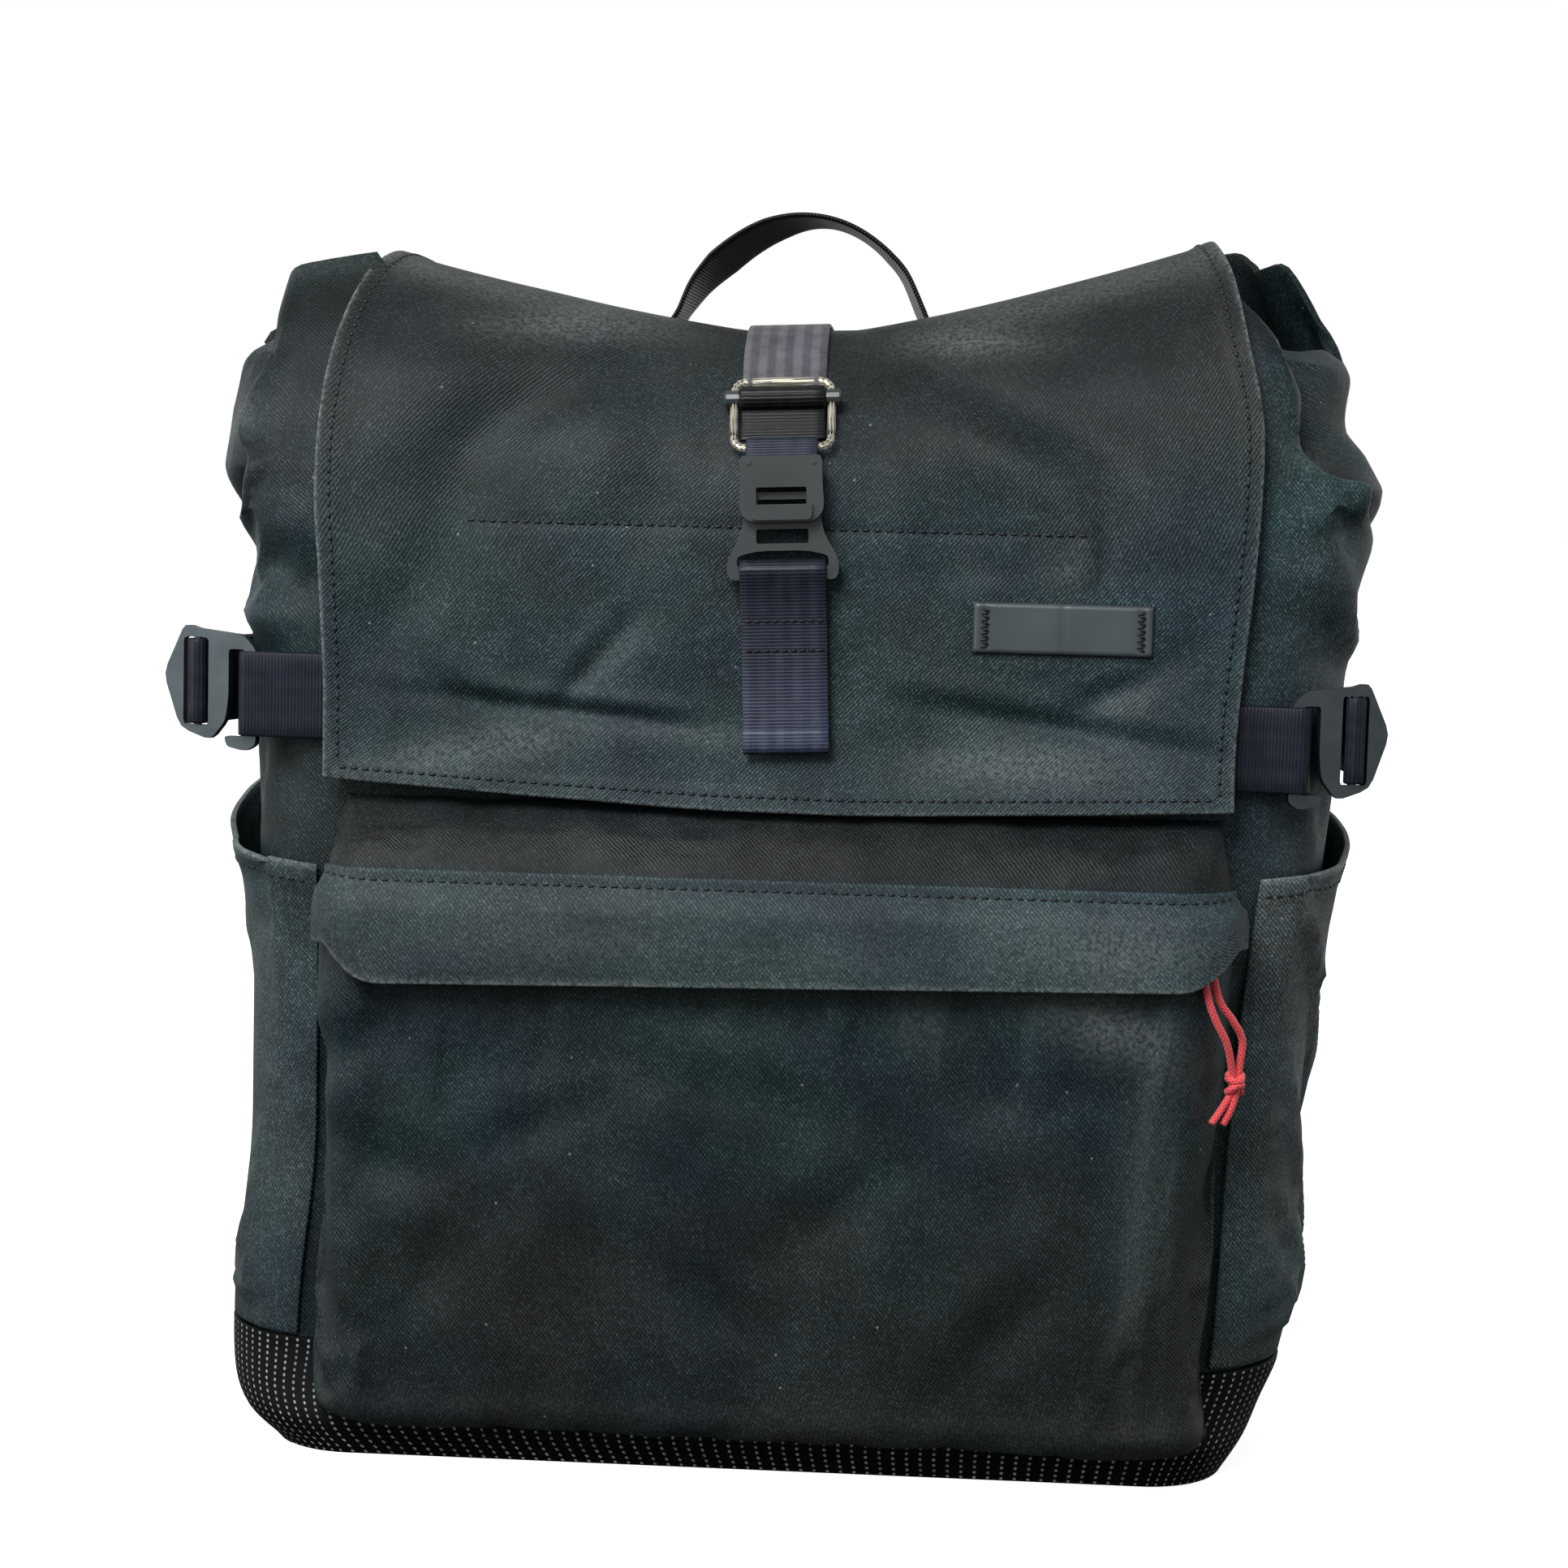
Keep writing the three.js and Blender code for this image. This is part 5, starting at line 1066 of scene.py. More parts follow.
# Pale patches on the lid, partly rubbed wear and partly a painted sheen on the bulges below its creases.
LID_RUBS_AND_SHEEN = [
    (-81, 213.5, 26, 6, 8, 0.32),
    (-104, 207, 22, 5, 4, 0.18),
    (71, 210, 30, 7, 0, 0.4),
    (-49, 240.6, 14, 5, 35, 0.22),
    (80, 266, 8, 5, 0, 0.25),
    (-70, 335, 26, 5, 0, 0.3),
    (50, 333, 22, 5, 0, 0.3),
    (-20, 216, 22, 4, 0, 0.2),
    (104, 232, 14, 6, 30, 0.2),
]
lid_height = lid_points[..., 2]
lid_rubs_and_sheen = rubs_and_sheen(LID_RUBS_AND_SHEEN, lid_points[..., 0], lid_height) * (lid_points[..., 1] < -5)
# Painted shading: the lid is painted darker towards its crest, as painted shade; its right half is painted
# lighter low down and darker near the crest.
lid_painted_shading = np.interp(lid_height, (200, 250, 290, 325), (0.9, 0.95, 0.72, 0.55))
lid_right = np.clip((lid_points[..., 0] + 60) / 120, 0, 1)
lid_painted_shading = lid_painted_shading * (1 + lid_right * np.interp(lid_height, (200, 260, 320), (0.1, 0.22, -0.2)))
lid_marks = {
    "scuff_and_sheen": (edge_wear + crest_wear + lid_rubs_and_sheen)[:, ::-1],
    "painted_shading": lid_painted_shading[:, ::-1],
    "dry": np.interp(lid_height, (240, 290, 330), (0.05, 0.25, 0.85))[:, ::-1],
}
lid = grid_piece("lid_canvas", lid_points[:, ::-1], lid_uv[:, ::-1], waxed_canvas, marks=lid_marks)
walled(lid, CANVAS_THICK, 0.7)
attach(lid, "root")
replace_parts(lid, "lid")


def lid_line(rows, shares):
    """A line on the lid at rows along it and shares across it, with its normals."""
    columns = (np.array(shares, float) + 1) / 2 * (LID_WIDE - 1)
    rows = np.array(rows, float)
    return on_grid(lid_points, rows, columns), on_grid(lid_out, rows, columns)


hem_in = HEM - 1.6
hem_row = (LID_LONG - 1) * (1 - hem_in / lid_run[-1])
side_rows = np.linspace(10, hem_row, 200)
right_in = 1 - hem_in / np.interp(side_rows, np.arange(LID_LONG), lid_row["right"][:, 0])
left_in = 1 - hem_in / np.interp(side_rows, np.arange(LID_LONG), lid_row["left"][:, 0])
front_row = np.full(200, hem_row)
front_share = np.linspace(-1 + hem_in / 135.5, 1 - hem_in / 135.5, 200)
seam_rows = []
for share in np.linspace(-93 / 136, 88 / 136, 120):
    column = int(round((share + 1) / 2 * (LID_WIDE - 1)))
    z = lid_points[:, column, 2]
    low = np.arange(LID_LONG)[lid_points[:, column, 1] < -40]
    seam_rows.append((np.interp(-LID_SEAM, -z[low], low), share))
seam_rows = np.array(seam_rows)
lid_stitches = stitched("lid_stitches", [
    lid_line(side_rows, right_in),
    lid_line(side_rows, -left_in),
    lid_line(front_row, front_share),
    lid_line(seam_rows[:, 0], seam_rows[:, 1]),
], radius=0.45)

# Closure strap
# A 25 mm nylon strap sewn to the back of the lid. It runs over the crest, goes under the slider's top
# wire, round the slider's bar and back down on itself. Woven ribs cross it, with pale bands of painted sheen
# along it.
WEB_WIDTH, WEB_THICK = 25.0, 1.4

# Nylon webbing: a ribbed weave in a very dark navy, with a silky sheen on the floats of its yarn. Each band
# carries its painted shading, lighter or darker as the light falls on it, and how strongly it shows a painted
# sheen in pale bands.
nylon_webbing, tree, surface = new_material("nylon_webbing")
cloth_uv = add_node(tree, "UVMap", {"uv_map": "cloth"})
solid_place = add_node(tree, "TexCoord").outputs["Object"]
clouds, weave, carried = {}, {}, {}
for name, direction, pitch, distortion, shift in (
    ("ribs", "Y", 1.0, 0.8, 0.0),
    ("yarns", "X", 0.9, 0.6, 0.0),
    ("sheen_stripes", "X", 5.2, 0.3, 0.35),
):
    scaled = {"Location": (shift, 0, 0), "Scale": (1 / (pitch * MM),) * 3}
    placed = add_node(tree, "Mapping", scaled, {"Vector": cloth_uv.outputs[0]})
    look = {"bands_direction": direction, "Scale": 1 / math.pi, "Distortion": distortion, "Detail": 1.0}
    weave[name] = add_node(tree, "TexWave", look, {"Vector": placed.outputs[0]}).outputs["Fac"]
for name, size, detail, least, most in (("fuzz", 1.2, 3.0, 0.5, 1.0), ("wear", 5, 4.0, 0.75, 1.25)):
    look = {"Scale": 1 / (size * MM), "Detail": detail, "Roughness": 0.6}
    cloud = add_node(tree, "TexNoise", look, {"Vector": solid_place})
    limits = {"From Min": 0.3, "From Max": 0.7, "To Min": least, "To Max": most}
    clouds[name] = add_node(tree, "MapRange", limits, {"Value": cloud.outputs["Fac"]}).outputs[0]
for name in ("painted_shading", "striped_sheen"):
    carried[name] = add_node(tree, "Attribute", {"attribute_name": name}).outputs["Fac"]
# Lengthwise pale bands, a painted sheen, shown as strongly as each band asks.
stripe_limits = {"From Min": 0.3, "From Max": 0.7, "To Min": 0.4}
stripe_edge = add_node(tree, "MapRange", stripe_limits, {"Value": weave["sheen_stripes"]})
soft_yarns = add_node(tree, "MapRange", {"To Min": 0.55, "To Max": 1.0}, {"Value": weave["yarns"]})
times = {"operation": "MULTIPLY", "use_clamp": True}
stripe_share = add_node(tree, "Math", times, {0: stripe_edge.outputs[0], 1: carried["striped_sheen"]})
rib_share = add_node(tree, "Math", times, {0: weave["ribs"], 1: soft_yarns.outputs[0]})
float_share = add_node(tree, "Math", times, {0: rib_share.outputs[0], 1: clouds["fuzz"]})
# Where a painted sheen is asked for, the ground and the floats are painted pale grey.
web_ground = add_node(
    tree, "Mix", {"data_type": "RGBA", 6: srgb("#0A1120"), 7: srgb("#36353A")},
    {0: stripe_share.outputs[0]},
)
web_floats = add_node(
    tree, "Mix", {"data_type": "RGBA", 6: srgb("#202F4A"), 7: srgb("#393837")}, {0: carried["striped_sheen"]},
)
web_woven = add_node(
    tree, "Mix", {"data_type": "RGBA"},
    {0: float_share.outputs[0], 6: web_ground.outputs[2], 7: web_floats.outputs[2]},
)
web_colour = web_woven.outputs[2]
for shade in (clouds["wear"], carried["painted_shading"]):
    settings = {"data_type": "RGBA", "blend_type": "MULTIPLY", 0: 1.0}
    web_colour = add_node(tree, "Mix", settings, {6: web_colour, 7: shade}).outputs[2]
web_bump = add_node(tree, "Bump", {"Strength": 0.4, "Distance": 0.25 * MM}, {"Height": weave["ribs"]})
web_shader = add_node(
    tree, "BsdfPrincipled", {"Roughness": 0.42, "Specular IOR Level": 0.26},
    {"Base Color": web_colour, "Normal": web_bump.outputs[0]},
)
tree.links.new(web_shader.outputs[0], surface)


def woven_band(name, path, widthways, width=WEB_WIDTH, step=0.9, painted_shading=(1.0,), striped_sheen=0.3):
    """A flat band of webbing with rounded selvedges along a smooth path. widthways is one direction,
    or several spread evenly along the path; so is its painted shading, the light and shade painted along it."""
    line = smooth_path(path, step)
    ways = np.array(widthways, float).reshape(-1, 3)
    share = np.linspace(0, 1, len(line))
    side = np.stack([np.interp(share, np.linspace(0, 1, len(ways)), ways[:, k]) for k in range(3)], axis=1)
    side /= np.linalg.norm(side, axis=1)[:, None]
    normal = np.cross(np.gradient(line, axis=0), side)
    normal /= np.linalg.norm(normal, axis=1)[:, None]
    half, deep = width / 2, WEB_THICK / 2
    flat = np.linspace(-half + 0.6, half - 0.6, 9)
    lip, shoulder = half - 0.25, deep * 0.75
    section = [(-half, 0.0), (-lip, -shoulder)] + [(s, -deep) for s in flat] + [(lip, -shoulder)]
    section += [(half, 0.0), (lip, shoulder)] + [(s, deep) for s in flat[::-1]] + [(-lip, shoulder)]
    section = np.array(section)
    points = line[:, None, :] + side[:, None, :] * section[None, :, :1]
    points = points + normal[:, None, :] * section[None, :, 1:]
    run = distance_along(line)
    uv = np.stack(np.meshgrid(section[:, 0] + half, run), axis=-1)
    marks = {"painted_shading": np.interp(share, np.linspace(0, 1, len(painted_shading)), painted_shading)[:, None], "striped_sheen": striped_sheen}
    piece = grid_piece(name, points, uv, nylon_webbing, around=True, capped=True, marks=marks)
    piece.data.flip_normals()
    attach(piece, "root")
    return piece


def arc_points(centre, radius, start, end, count, place):
    """Points round part of a circle, laid into space by place."""
    angles = np.radians(np.linspace(start, end, count + 1))
    return [place(centre[0] + radius * math.cos(a), centre[1] + radius * math.sin(a)) for a in angles]


CLOSURE_LEAN, LEAN_FOOT = math.radians(-2.5), 213.0
ACROSS_CLOSURE = (math.cos(CLOSURE_LEAN), 0.0, -math.sin(CLOSURE_LEAN))


def in_middle(y, z):
    """A place in the middle of the closure, which leans to the left about the foot of its pull strap."""
    rise = z - LEAN_FOOT
    return (rise * math.sin(CLOSURE_LEAN), y, LEAN_FOOT + rise * math.cos(CLOSURE_LEAN))


def on_slope(place, up, out=0.0):
    """A point up along the slope that a fitting lies on, and out of it, as y and z."""
    y, z, tilt = place
    c, s = math.cos(math.radians(tilt)), math.sin(math.radians(tilt))
    return (y + up * c - out * s, z + up * s + out * c)


SLIDER_PLACE, BUCKLE_PLACE = (-56.0, 310.0, 58.0), (-69.2, 294.5, 85.1)
lid_middle = np.stack([lid_row["mid_y"][:, 0], lid_row["mid_z"][:, 0]], axis=1)
lid_slope = np.gradient(lid_middle, axis=0)
lid_slope /= np.linalg.norm(lid_slope, axis=1)[:, None]
over_lid = lid_middle + 1.2 * np.stack([lid_slope[:, 1], -lid_slope[:, 0]], axis=1)
first, last = np.searchsorted(lid_at, lid_run[1]), np.searchsorted(lid_at, lid_run[7])
closure_path = [in_middle(y, z) for y, z in over_lid[first:last:4]] + [in_middle(-47.4, 316.2)]
closure_path += arc_points(on_slope(SLIDER_PLACE, 5.5), 3.1, 58, 255, 9, in_middle)
closure_path += [in_middle(-55.5, 306), in_middle(-57.4, 302.4)]
# Painted light: pale as a painted sheen over the lid, dark as painted shade where it passes under the
# slider's wire and round its bar.
closure_painted_light = [3.2] * 17 + [0.2] * 4
closure_strap = woven_band("closure_webbing", closure_path, ACROSS_CLOSURE, painted_shading=closure_painted_light, striped_sheen=1.0)
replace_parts(closure_strap, "closure_strap")

# Slider
# A frame of nickel-plated steel wire, 2.4 mm thick, with a black moulded bar sliding on its side wires.
# Both are the solids of the frame, rounded off.
nickel_wire, tree, surface = new_material("nickel_plated_steel")
solid_place = add_node(tree, "TexCoord").outputs["Object"]
wire_haze = add_node(tree, "TexNoise", {"Scale": 1 / (9 * MM), "Detail": 1.0}, {"Vector": solid_place})
wire_colour = add_node(
    tree, "Mix", {"data_type": "RGBA", 6: srgb("#CFC8B2"), 7: srgb("#E6E1D2")},
    {0: wire_haze.outputs["Fac"]},
)
wire_shader = add_node(
    tree, "BsdfPrincipled", {"Metallic": 0.6, "Roughness": 0.3}, {"Base Color": wire_colour.outputs[2]},
)
tree.links.new(wire_shader.outputs[0], surface)

# Moulded acetal: satin black plastic with a fine spark-eroded grain.
moulded_acetal, tree, surface = new_material("moulded_acetal")
solid_place = add_node(tree, "TexCoord").outputs["Object"]
acetal_grain = add_node(tree, "TexNoise", {"Scale": 1 / (0.5 * MM), "Detail": 2.0}, {"Vector": solid_place})
acetal_cloud = add_node(tree, "TexNoise", {"Scale": 1 / (14 * MM), "Detail": 3.0}, {"Vector": solid_place})
acetal_colour = add_node(
    tree, "Mix", {"data_type": "RGBA", 6: srgb("#2A3032"), 7: srgb("#3F4547")},
    {0: acetal_cloud.outputs["Fac"]},
)
acetal_bump = add_node(
    tree, "Bump", {"Strength": 0.15, "Distance": 0.1 * MM}, {"Height": acetal_grain.outputs["Fac"]},
)
acetal_shader = add_node(
    tree, "BsdfPrincipled", {"Roughness": 0.3, "Specular IOR Level": 0.6},
    {"Base Color": acetal_colour.outputs[2], "Normal": acetal_bump.outputs[0]},
)
tree.links.new(acetal_shader.outputs[0], surface)


def coated(node, material):
    """Keeps a solid of the frame and gives it its finish."""
    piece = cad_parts[node]
    piece.data.materials.clear()
    piece.data.materials.append(material)
    for face in piece.data.polygons:
        face.use_smooth = True
    return piece


def finished(node, material, edge):
    """Keeps a solid of the frame, gives it its finish and eases its edges."""
    ease = coated(node, material).modifiers.new("eased_edge", "BEVEL")
    ease.width = edge * MM
    ease.segments = 3
    ease.limit_method = "ANGLE"
    ease.angle_limit = math.radians(32)
    ease.harden_normals = True


wire_frame = coated("slider_frame", nickel_wire)
rounder = wire_frame.modifiers.new("round_wire", "SUBSURF")
rounder.levels = rounder.render_levels = 2
finished("slider_bar", moulded_acetal, 0.35)

# Clip buckle
# Two satin black mouldings: the upper hangs on the slider by a short webbing loop and clips over the
# flared lower half, which the pull strap holds by its bottom bar.
finished("buckle_upper", moulded_acetal, 0.3)
finished("buckle_lower", moulded_acetal, 0.4)
BUCKLE_BAR, SLIDER_FOOT = on_slope(BUCKLE_PLACE, 0, -3.2), on_slope(SLIDER_PLACE, -11.5)
lean = math.degrees(math.atan2(SLIDER_FOOT[1] - BUCKLE_BAR[1], SLIDER_FOOT[0] - BUCKLE_BAR[0]))
loop_path = arc_points(BUCKLE_BAR, 3.0, lean - 100, lean - 270, 6, in_middle)
loop_path += arc_points(SLIDER_FOOT, 2.3, lean + 90, lean - 80, 6, in_middle)
# The loop is painted a little lighter than the other webbing, as painted light.
buckle_loop = woven_band("buckle_loop_webbing", loop_path, ACROSS_CLOSURE, 20.8, 0.5, painted_shading=(1.2,))
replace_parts(buckle_loop, "buckle_loop")

# Pull strap
# Webbing looped round the buckle's bottom bar: its back layer is sewn to the lid by two rows of stitches,
# its front layer hangs free and ends in a folded, stitched hem.
BUCKLE_FOOT = on_slope(BUCKLE_PLACE, -29.8, -3.0)
PULL_BACK = [(-65.7, 236), (-65.7, 246), (-65.7, 258.5)]
PULL_FRONT = [
    (-69.7, 256.6), (-68.6, 246), (-68.4, 232), (-68.9, 220), (-69.1, 214.2), (-69.9, 212.9), (-70.7, 214.2),
    (-70.6, 219),
]
pull_path = [in_middle(y, z) for y, z in PULL_BACK]
pull_path += arc_points(BUCKLE_FOOT, 3.0, 0, 180, 6, in_middle)
pull_path += [in_middle(y, z) for y, z in PULL_FRONT]
# Painted shading: dark as painted shade on its back layer and near the buckle, lighter as a painted sheen
# down its front layer to its free end.
pull_strap = woven_band("pull_webbing", pull_path, ACROSS_CLOSURE, painted_shading=(0.6, 0.7, 1.5, 3.2), striped_sheen=0.4)
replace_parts(pull_strap, "pull_strap")
pull_rows = []
for z, y in ((250.5, -69.85), (242, -69.35)):
    across = np.array(in_middle(y, z)) + np.linspace(-11.6, 11.6, 12)[:, None] * ACROSS_CLOSURE
    pull_rows.append((across, np.repeat([[0.0, -1.0, 0.0]], 12, axis=0)))
stitched("pull_strap_stitches", pull_rows, 2.6, 2.0, 0.3)

# Side fixings
# On each side a loop of webbing from under the lid holds the bar of an anodised G-hook, and a strap from
# the back seam is threaded round the post in the hook's slot. The hooks are the solids of the frame.
anodised_hook, tree, surface = new_material("anodised_aluminium")
solid_place = add_node(tree, "TexCoord").outputs["Object"]
hook_cloud = add_node(tree, "TexNoise", {"Scale": 1 / (8 * MM), "Detail": 4.0}, {"Vector": solid_place})
hook_grain = add_node(tree, "TexNoise", {"Scale": 1 / (0.4 * MM), "Detail": 2.0}, {"Vector": solid_place})
hook_colour = add_node(
    tree, "Mix", {"data_type": "RGBA", 6: srgb("#565F63"), 7: srgb("#737C80")},
    {0: hook_cloud.outputs["Fac"]},
)
hook_rough = add_node(
    tree, "MapRange", {"To Min": 0.34, "To Max": 0.52}, {"Value": hook_cloud.outputs["Fac"]},
)
hook_bump = add_node(
    tree, "Bump", {"Strength": 0.12, "Distance": 0.08 * MM}, {"Height": hook_grain.outputs["Fac"]},
)
hook_shader = add_node(
    tree, "BsdfPrincipled", {"Metallic": 1.0},
    {
        "Base Color": hook_colour.outputs[2],
        "Roughness": hook_rough.outputs[0],
        "Normal": hook_bump.outputs[0],
    },
)
tree.links.new(hook_shader.outputs[0], surface)
HOOK_TURN = math.radians(12)
# Each side: height of the strap, the body's half width there, the place of the hook's bar from the corner,
# and the rear strap's two layers near the hook as distance out of the side and y.
SIDE_FIXINGS = (
    (1, "right", 217.0, 165.0, (14.0, -60.2), ((0.5, 8), (1.6, -14), (3.4, -37)), ((-1.2, -38), (0.2, -27))),
    (-1, "left", 224.5, 165.0625, (25.5, -57.5), ((0.5, 8), (4, -14), (9.5, -38)), ((3.8, -38), (0.8, -24))),
)


def beside(side, z):
    """Lays a place beside the body into space, on that side and at that height."""
    return lambda x, y: (side * x, y, z)


for side, hand, strap_z, half, bar_place, run, turn in SIDE_FIXINGS:
    finished("hook_" + hand, anodised_hook, 0.6)
    corner = half - 32
    bar = (corner + bar_place[0], bar_place[1])
    slot = (bar[0] + 17.5 * math.cos(HOOK_TURN), bar[1] + 17.5 * math.sin(HOOK_TURN))
    at = beside(side, strap_z)
    loop = [at(corner - 16, -59.3), at(corner - 6, -59.3), at(corner + 2, -59.4)]
    loop += arc_points(bar, 3.35, 102, -78, 6, at)
    loop += [at(corner + 4, -61.2), at(corner - 6, -61.2), at(corner - 16, -61.2)]
    # The side loop is painted a little darker, as painted shade.
    front_loop = woven_band("side_loop_webbing_" + hand, loop, (0, 0, 1), painted_shading=(0.75,))
    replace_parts(front_loop, "side_loop_" + hand)
    at = beside(side, strap_z + 3.1)
    flank = half + 1.1
    strap = arc_points((corner, 28), 33.1, 67.5, 0, 6, at)
    strap += [at(flank + out, y) for out, y in run]
    strap += arc_points(slot, 2.3, 10, -190, 7, at) + [at(flank + out, y) for out, y in turn]
    # The side strap is painted a little darker, as painted shade.
    rear_strap = woven_band("side_strap_webbing_" + hand, strap, (0, 0, 1), 25.2, painted_shading=(0.75,))
    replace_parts(rear_strap, "side_strap_" + hand)

# Label patch
# A bare rectangle of embossed black rubber on the lid, held at each end by a zigzag bar tack.
# It has been folded once, which leaves a faint upright crease in its middle.
LABEL = {"half": 26.0, "tall": 7.5, "y": -64.9, "thick": 1.2, "crease": 0.8 / 27}
label_rubber, tree, surface = new_material("moulded_rubber")
solid_place = add_node(tree, "TexCoord").outputs["Object"]
label_grain = add_node(tree, "TexNoise", {"Scale": 1 / (1.4 * MM), "Detail": 4.0}, {"Vector": solid_place})
label_cloud = add_node(tree, "TexNoise", {"Scale": 1 / (16 * MM), "Detail": 2.0}, {"Vector": solid_place})
label_colour = add_node(
    tree, "Mix", {"data_type": "RGBA", 6: srgb("#363E41"), 7: srgb("#525B5F")},
    {0: label_cloud.outputs["Fac"]},
)
label_rough = add_node(
    tree, "MapRange", {"To Min": 0.28, "To Max": 0.5}, {"Value": label_grain.outputs["Fac"]},
)
label_bump = add_node(
    tree, "Bump", {"Strength": 0.3, "Distance": 0.15 * MM}, {"Height": label_grain.outputs["Fac"]},
)
label_shader = add_node(
    tree, "BsdfPrincipled", {"Specular IOR Level": 0.6},
    {
        "Base Color": label_colour.outputs[2],
        "Roughness": label_rough.outputs[0],
        "Normal": label_bump.outputs[0],
    },
)
tree.links.new(label_shader.outputs[0], surface)
u, v = np.meshgrid(np.linspace(-1, 1, 55), np.linspace(-1, 1, 19))
label_edge = np.clip(np.minimum((1 - np.abs(u)) * LABEL["half"], (1 - np.abs(v)) * LABEL["tall"]) / 0.7, 0, 1)
label_face = LABEL["thick"] * np.sqrt(label_edge * (2 - label_edge))
label_face -= 0.25 * np.exp(-((u / LABEL["crease"]) ** 2))
label_face -= 0.35 * np.exp(-(((np.abs(u) - 0.86) / 0.05) ** 2)) * (np.abs(v) < 0.8)
label_uv = np.stack([u * LABEL["half"], v * LABEL["tall"]], axis=-1)
label_points = np.stack([
    LABEL_X + label_uv[..., 0],
    LABEL["y"] - label_face,
    LABEL_Z + label_uv[..., 1],
], axis=-1)
label = grid_piece("label_patch", label_points, label_uv, label_rubber)
backing = label.modifiers.new("backing", "SOLIDIFY")
backing.thickness = 0.3 * MM
backing.offset = -1.0
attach(label, "root")
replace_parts(label, "label")
tacks = []
for end in (-1, 1):
    zig = []
    for k in range(13):
        zig.append((LABEL_X + end * (22.4 + 1.3 * (-1) ** k), LABEL["y"] - 1.3, LABEL_Z - 5.7 + 0.95 * k))
    for stitch in zip(zig, zig[1:]):
        tacks.append((np.array(stitch), np.repeat([[0.0, -1.0, 0.0]], 2, axis=0)))
stitched("label_tacks", tacks, 2.4, 2.3, 0.32)

# Grab handle
# One length of the same webbing, sewn flat to the top of the lid at both ends and arched between them.
# It twists a little, so its left shoulder shows its inner face and its feet show their edge.
def lid_top(x):
    """Height of the lid's crest at a distance from the middle."""
    half = 122 if x > 0 else 124
    bend = max(0.0, (abs(x) / half - LID_FLAT) / (1 - LID_FLAT)) ** LID_POWER
    return 337 + bend * 24.0 + 4.2 * x / half


HANDLE_LEFT, HANDLE_RIGHT, HANDLE_TOP, HANDLE_Y = -43.5, 34.5, 375.6, 41.5
HANDLE_TWIST = [
    (0.0, 1, 0), (0.06, 1, 0), (0.3, 1, -0.12), (0.3, 1, -0.1),
    (0.05, 1, -0.03), (-0.06, 1, 0), (-0.09, 1, 0), (0.0, 1, 0),
]
left_foot = np.linspace(HANDLE_LEFT - 16, HANDLE_LEFT - 1.5, 5)
right_foot = np.linspace(HANDLE_RIGHT + 1.5, HANDLE_RIGHT + 16, 5)
handle_path = [(x, HANDLE_Y, lid_top(x) + 1.4) for x in left_foot]
for t in np.linspace(0, 1, 15)[1:-1]:
    x = HANDLE_LEFT + (HANDLE_RIGHT - HANDLE_LEFT) * t
    foot = lid_top(HANDLE_LEFT if t < 0.5 else HANDLE_RIGHT) + 2.4
    handle_path.append((x, HANDLE_Y, foot + (HANDLE_TOP - foot) * math.sin(math.pi * t**1.15) ** 0.6))
handle_path += [(x, HANDLE_Y, lid_top(x) + 1.4) for x in right_foot]
# The handle is painted nearly black, as painted shade, with no painted sheen bands.
handle = woven_band("handle_webbing", handle_path, HANDLE_TWIST, painted_shading=(0.12,), striped_sheen=0.0)
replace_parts(handle, "handle")

# Shoulder straps
# Two foam pads in plain black cloth, bound at the edge, that bow away from the back panel, with a
# webbing tail each to the lower corners. The photograph hides them, so they are kept plain.
padded_cloth, tree, surface = new_material("padded_polyester_cloth")
cloth_uv = add_node(tree, "UVMap", {"uv_map": "cloth"})
mesh_scale = add_node(tree, "Mapping", {"Scale": (1 / (2.2 * MM),) * 3}, {"Vector": cloth_uv.outputs[0]})
mesh_cells = add_node(
    tree, "TexVoronoi", {"Scale": 1.0, "Randomness": 0.35}, {"Vector": mesh_scale.outputs[0]},
)
pad_colour = add_node(
    tree, "Mix", {"data_type": "RGBA", 6: srgb("#0E1011"), 7: srgb("#222627")},
    {0: mesh_cells.outputs["Distance"]},
)
pad_bump = add_node(
    tree, "Bump", {"Strength": 0.5, "Distance": 0.4 * MM}, {"Height": mesh_cells.outputs["Distance"]},
)
pad_shader = add_node(
    tree, "BsdfPrincipled", {"Roughness": 0.8, "Sheen Weight": 0.2},
    {"Base Color": pad_colour.outputs[2], "Normal": pad_bump.outputs[0]},
)
tree.links.new(pad_shader.outputs[0], surface)
PAD_TOP, PAD_BOTTOM, PAD_THICK, PAD_WIDTH = 286.0, 96.0, 8.0, 54.0
PAD_LONG, PAD_ROUND = 70, 56
PAD_TAIL = [(74, 95.6), (75, 88), (82, 76), (100, 61), (118, 46)]
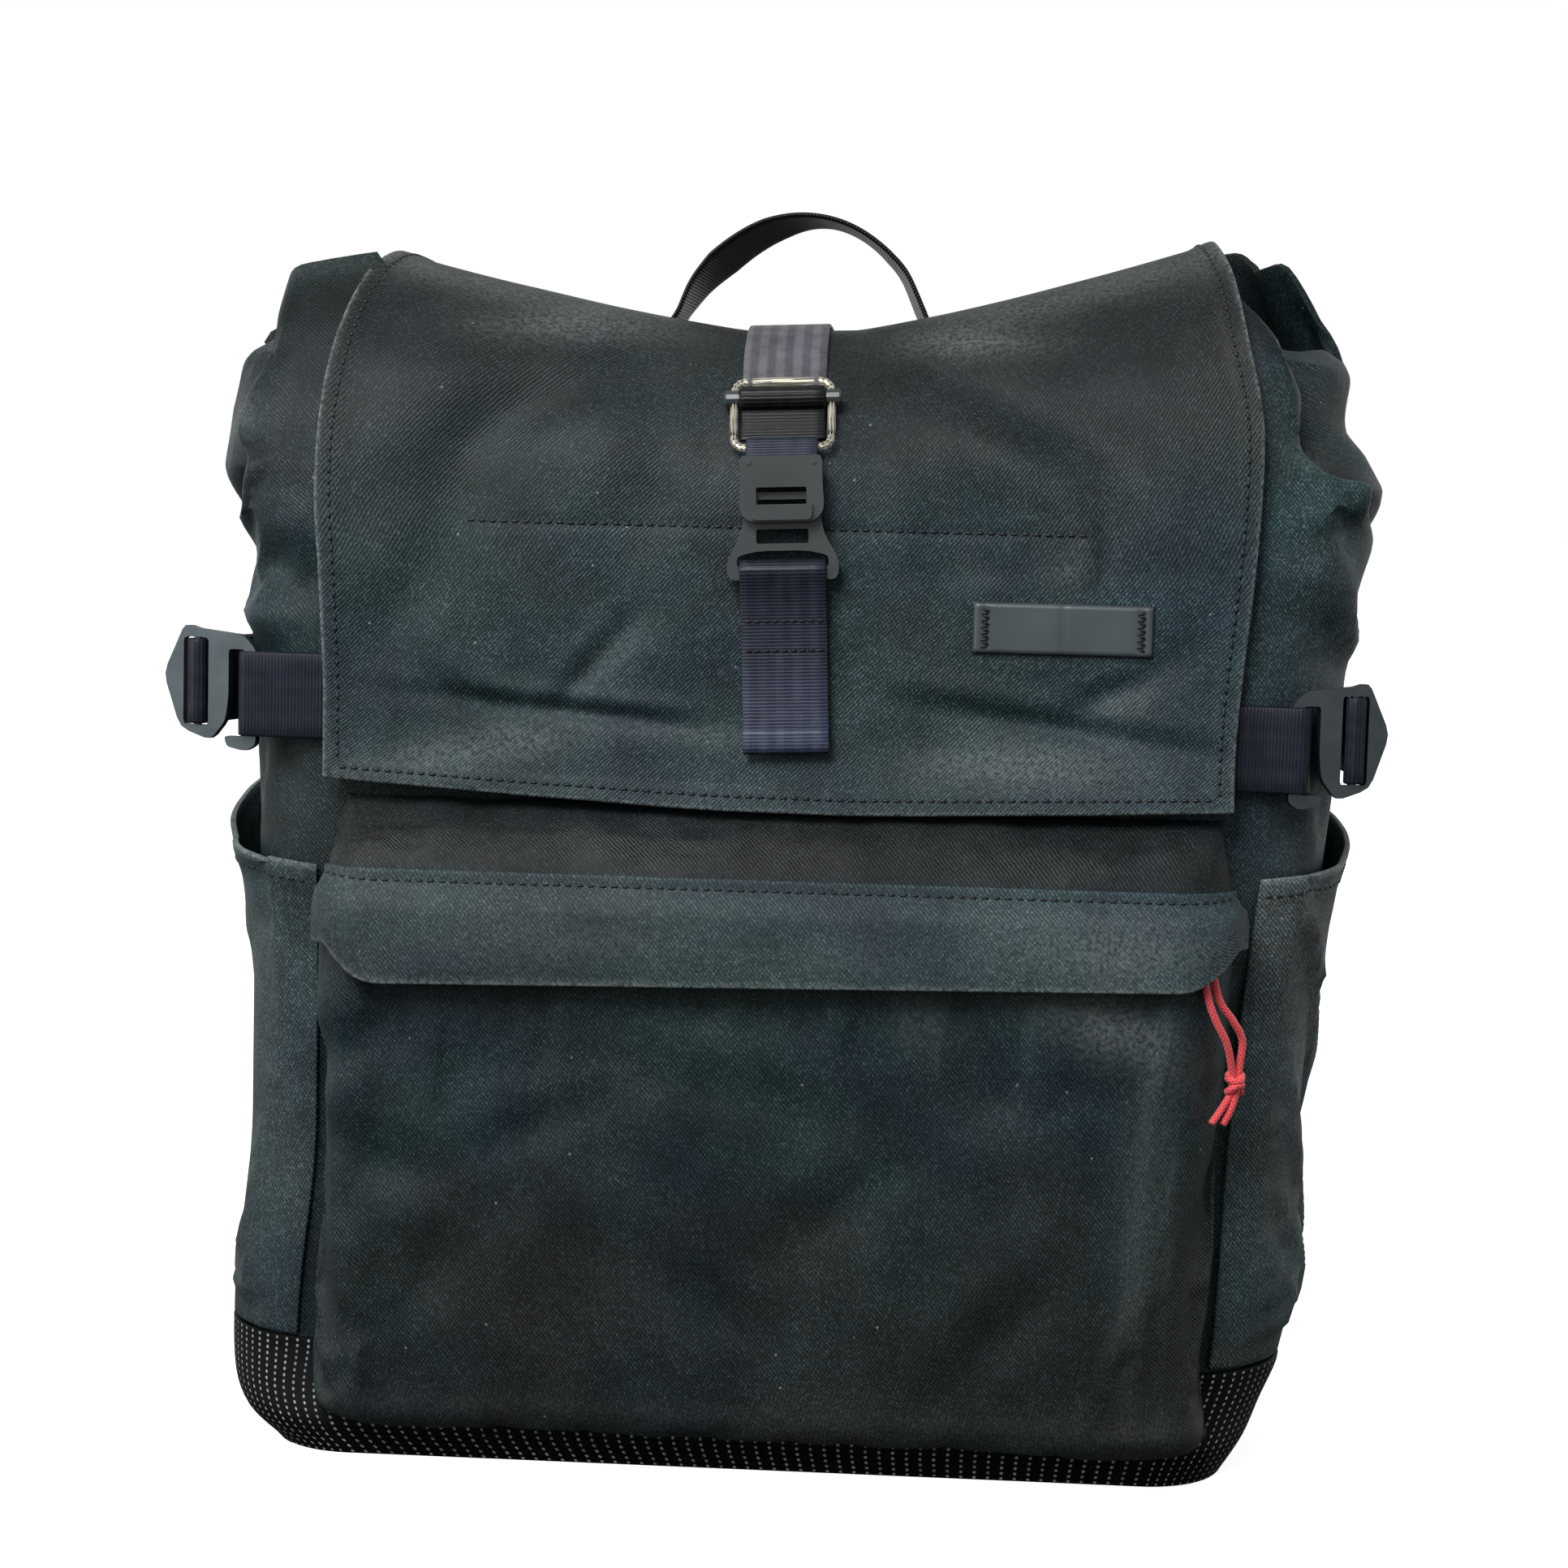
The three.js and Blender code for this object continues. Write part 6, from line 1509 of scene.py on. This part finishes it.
for side, hand in ((1, "right"), (-1, "left")):
    t = np.linspace(0, 1, PAD_LONG)
    centre = np.stack([
        side * (40 + 34 * t**1.5),
        BACK + GAP + PAD_THICK / 2 + 34 * np.sin(math.pi * t) ** 1.2,
        PAD_TOP + (PAD_BOTTOM - PAD_TOP) * t,
    ], axis=1)
    width = PAD_WIDTH * (1 - 0.3 * t**2)
    angle = np.linspace(0, 2 * math.pi, PAD_ROUND, endpoint=False)
    across = np.sign(np.cos(angle)) * np.abs(np.cos(angle)) ** 0.35
    thick = np.sign(np.sin(angle)) * np.abs(np.sin(angle)) ** 0.55
    dip = 1 - 0.28 * np.exp(-(((np.abs(across) - 0.86) / 0.05) ** 2))
    points = centre[:, None, :] + np.stack([
        width[:, None] / 2 * across[None, :],
        PAD_THICK / 2 * (thick * dip)[None, :] + 0 * t[:, None],
        0 * t[:, None] + 0 * angle[None, :],
    ], axis=-1)
    fullness = np.sqrt(np.clip(np.minimum(t, 1 - t) / 0.03, 0.15, 1))[:, None]
    points[..., 1] = centre[:, None, 1] + (points[..., 1] - centre[:, None, 1]) * fullness
    points[..., 1] += 0.4 * unevenness(points, 30, 50 + side)
    uv = np.stack(np.meshgrid(np.linspace(0, 120, PAD_ROUND), t * 215), axis=-1)
    pad = grid_piece("shoulder_pad_cloth_" + hand, points, uv, padded_cloth, around=True, capped=True)
    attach(pad, "root")
    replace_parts(pad, "shoulder_pad_" + hand)
    tail = [(side * x, 61.1, z) for x, z in PAD_TAIL]
    tail_across = ((side, 0, 0), (side * 0.9439, 0, 0.3304))
    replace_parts(woven_band("shoulder_webbing_" + hand, tail, tail_across), "shoulder_web_" + hand)

# Zip slider
# The die-cast slider block in the right end of the zip slot, which carries the red cord.
finished("zip_slider", anodised_hook, 0.5)

# Studio
# A white paper sweep under a white sky, with a soft box above the front and a weaker one on the left.
# The sweep glows to stay white but lights nothing, so the bag darkens towards its foot as in the photograph.
FLOOR_HALF = 40000
studio_floor, tree, surface = new_material("white_paper_sweep")
solid_place = add_node(tree, "TexCoord").outputs["Object"]
floor_tone = add_node(tree, "TexNoise", {"Scale": 1.5, "Detail": 2.0}, {"Vector": solid_place})
floor_colour = add_node(
    tree, "Mix", {"data_type": "RGBA", 6: srgb("#F8F8F8"), 7: srgb("#FDFDFD")},
    {0: floor_tone.outputs["Fac"]},
)
floor_shader = add_node(
    tree, "BsdfPrincipled", {"Roughness": 0.9, "Emission Color": srgb("#FFFFFF"), "Emission Strength": 0.8},
    {"Base Color": floor_colour.outputs[2]},
)
tree.links.new(floor_shader.outputs[0], surface)
floor_line = np.linspace(-FLOOR_HALF, FLOOR_HALF, 13)
floor_x, floor_y = np.meshgrid(floor_line, floor_line)
floor_grid = np.stack([floor_x, floor_y, 0 * floor_x], axis=-1)
floor = grid_piece("floor", floor_grid, floor_grid[..., :2], studio_floor)
floor.visible_diffuse = False
floor.visible_glossy = False

# The sky is white where the camera sees it, dimmer overhead and in front of the bag, and dark below.
world = bpy.data.worlds.new("studio_white")
bpy.context.scene.world = world
world.use_nodes = True
sky = world.node_tree
sky_way = add_node(sky, "TexCoord")
sky_height = add_node(sky, "SeparateXYZ", {}, {0: sky_way.outputs["Generated"]})
sky_parts = []
for axis, low, high, least, most in (
    ("Z", -0.25, -0.06, 0.08, 1.0), ("Z", 0.3, 0.7, 1.0, 0.35), ("Y", -0.5, 0.1, 0.45, 1.0),
):
    limits = {"From Min": low, "From Max": high, "To Min": least, "To Max": most}
    sky_parts.append(add_node(sky, "MapRange", limits, {"Value": sky_height.outputs[axis]}).outputs[0])
sky_rise = add_node(sky, "Math", {"operation": "MULTIPLY"}, {0: sky_parts[0], 1: sky_parts[1]})
sky_light = add_node(sky, "Math", {"operation": "MULTIPLY"}, {0: sky_rise.outputs[0], 1: sky_parts[2]})
sky.links.new(sky_light.outputs[0], sky.nodes["Background"].inputs["Color"])
for name, place, size, power in (
    ("soft_box_front", (-0.3, -0.85, 1.05), 0.55, 13.0),
    ("soft_box_left", (-1.1, -0.6, 0.55), 0.8, 5.0),
):
    light_data = bpy.data.lights.new(name, "AREA")
    light_data.size = size
    light_data.energy = power
    light = bpy.data.objects.new(name, light_data)
    bpy.context.collection.objects.link(light)
    light.location = place
    light.rotation_euler = (Vector((0, -0.03, 0.2)) - Vector(place)).to_track_quat("-Z", "Y").to_euler()
bpy.context.scene.view_settings.view_transform = "Standard"
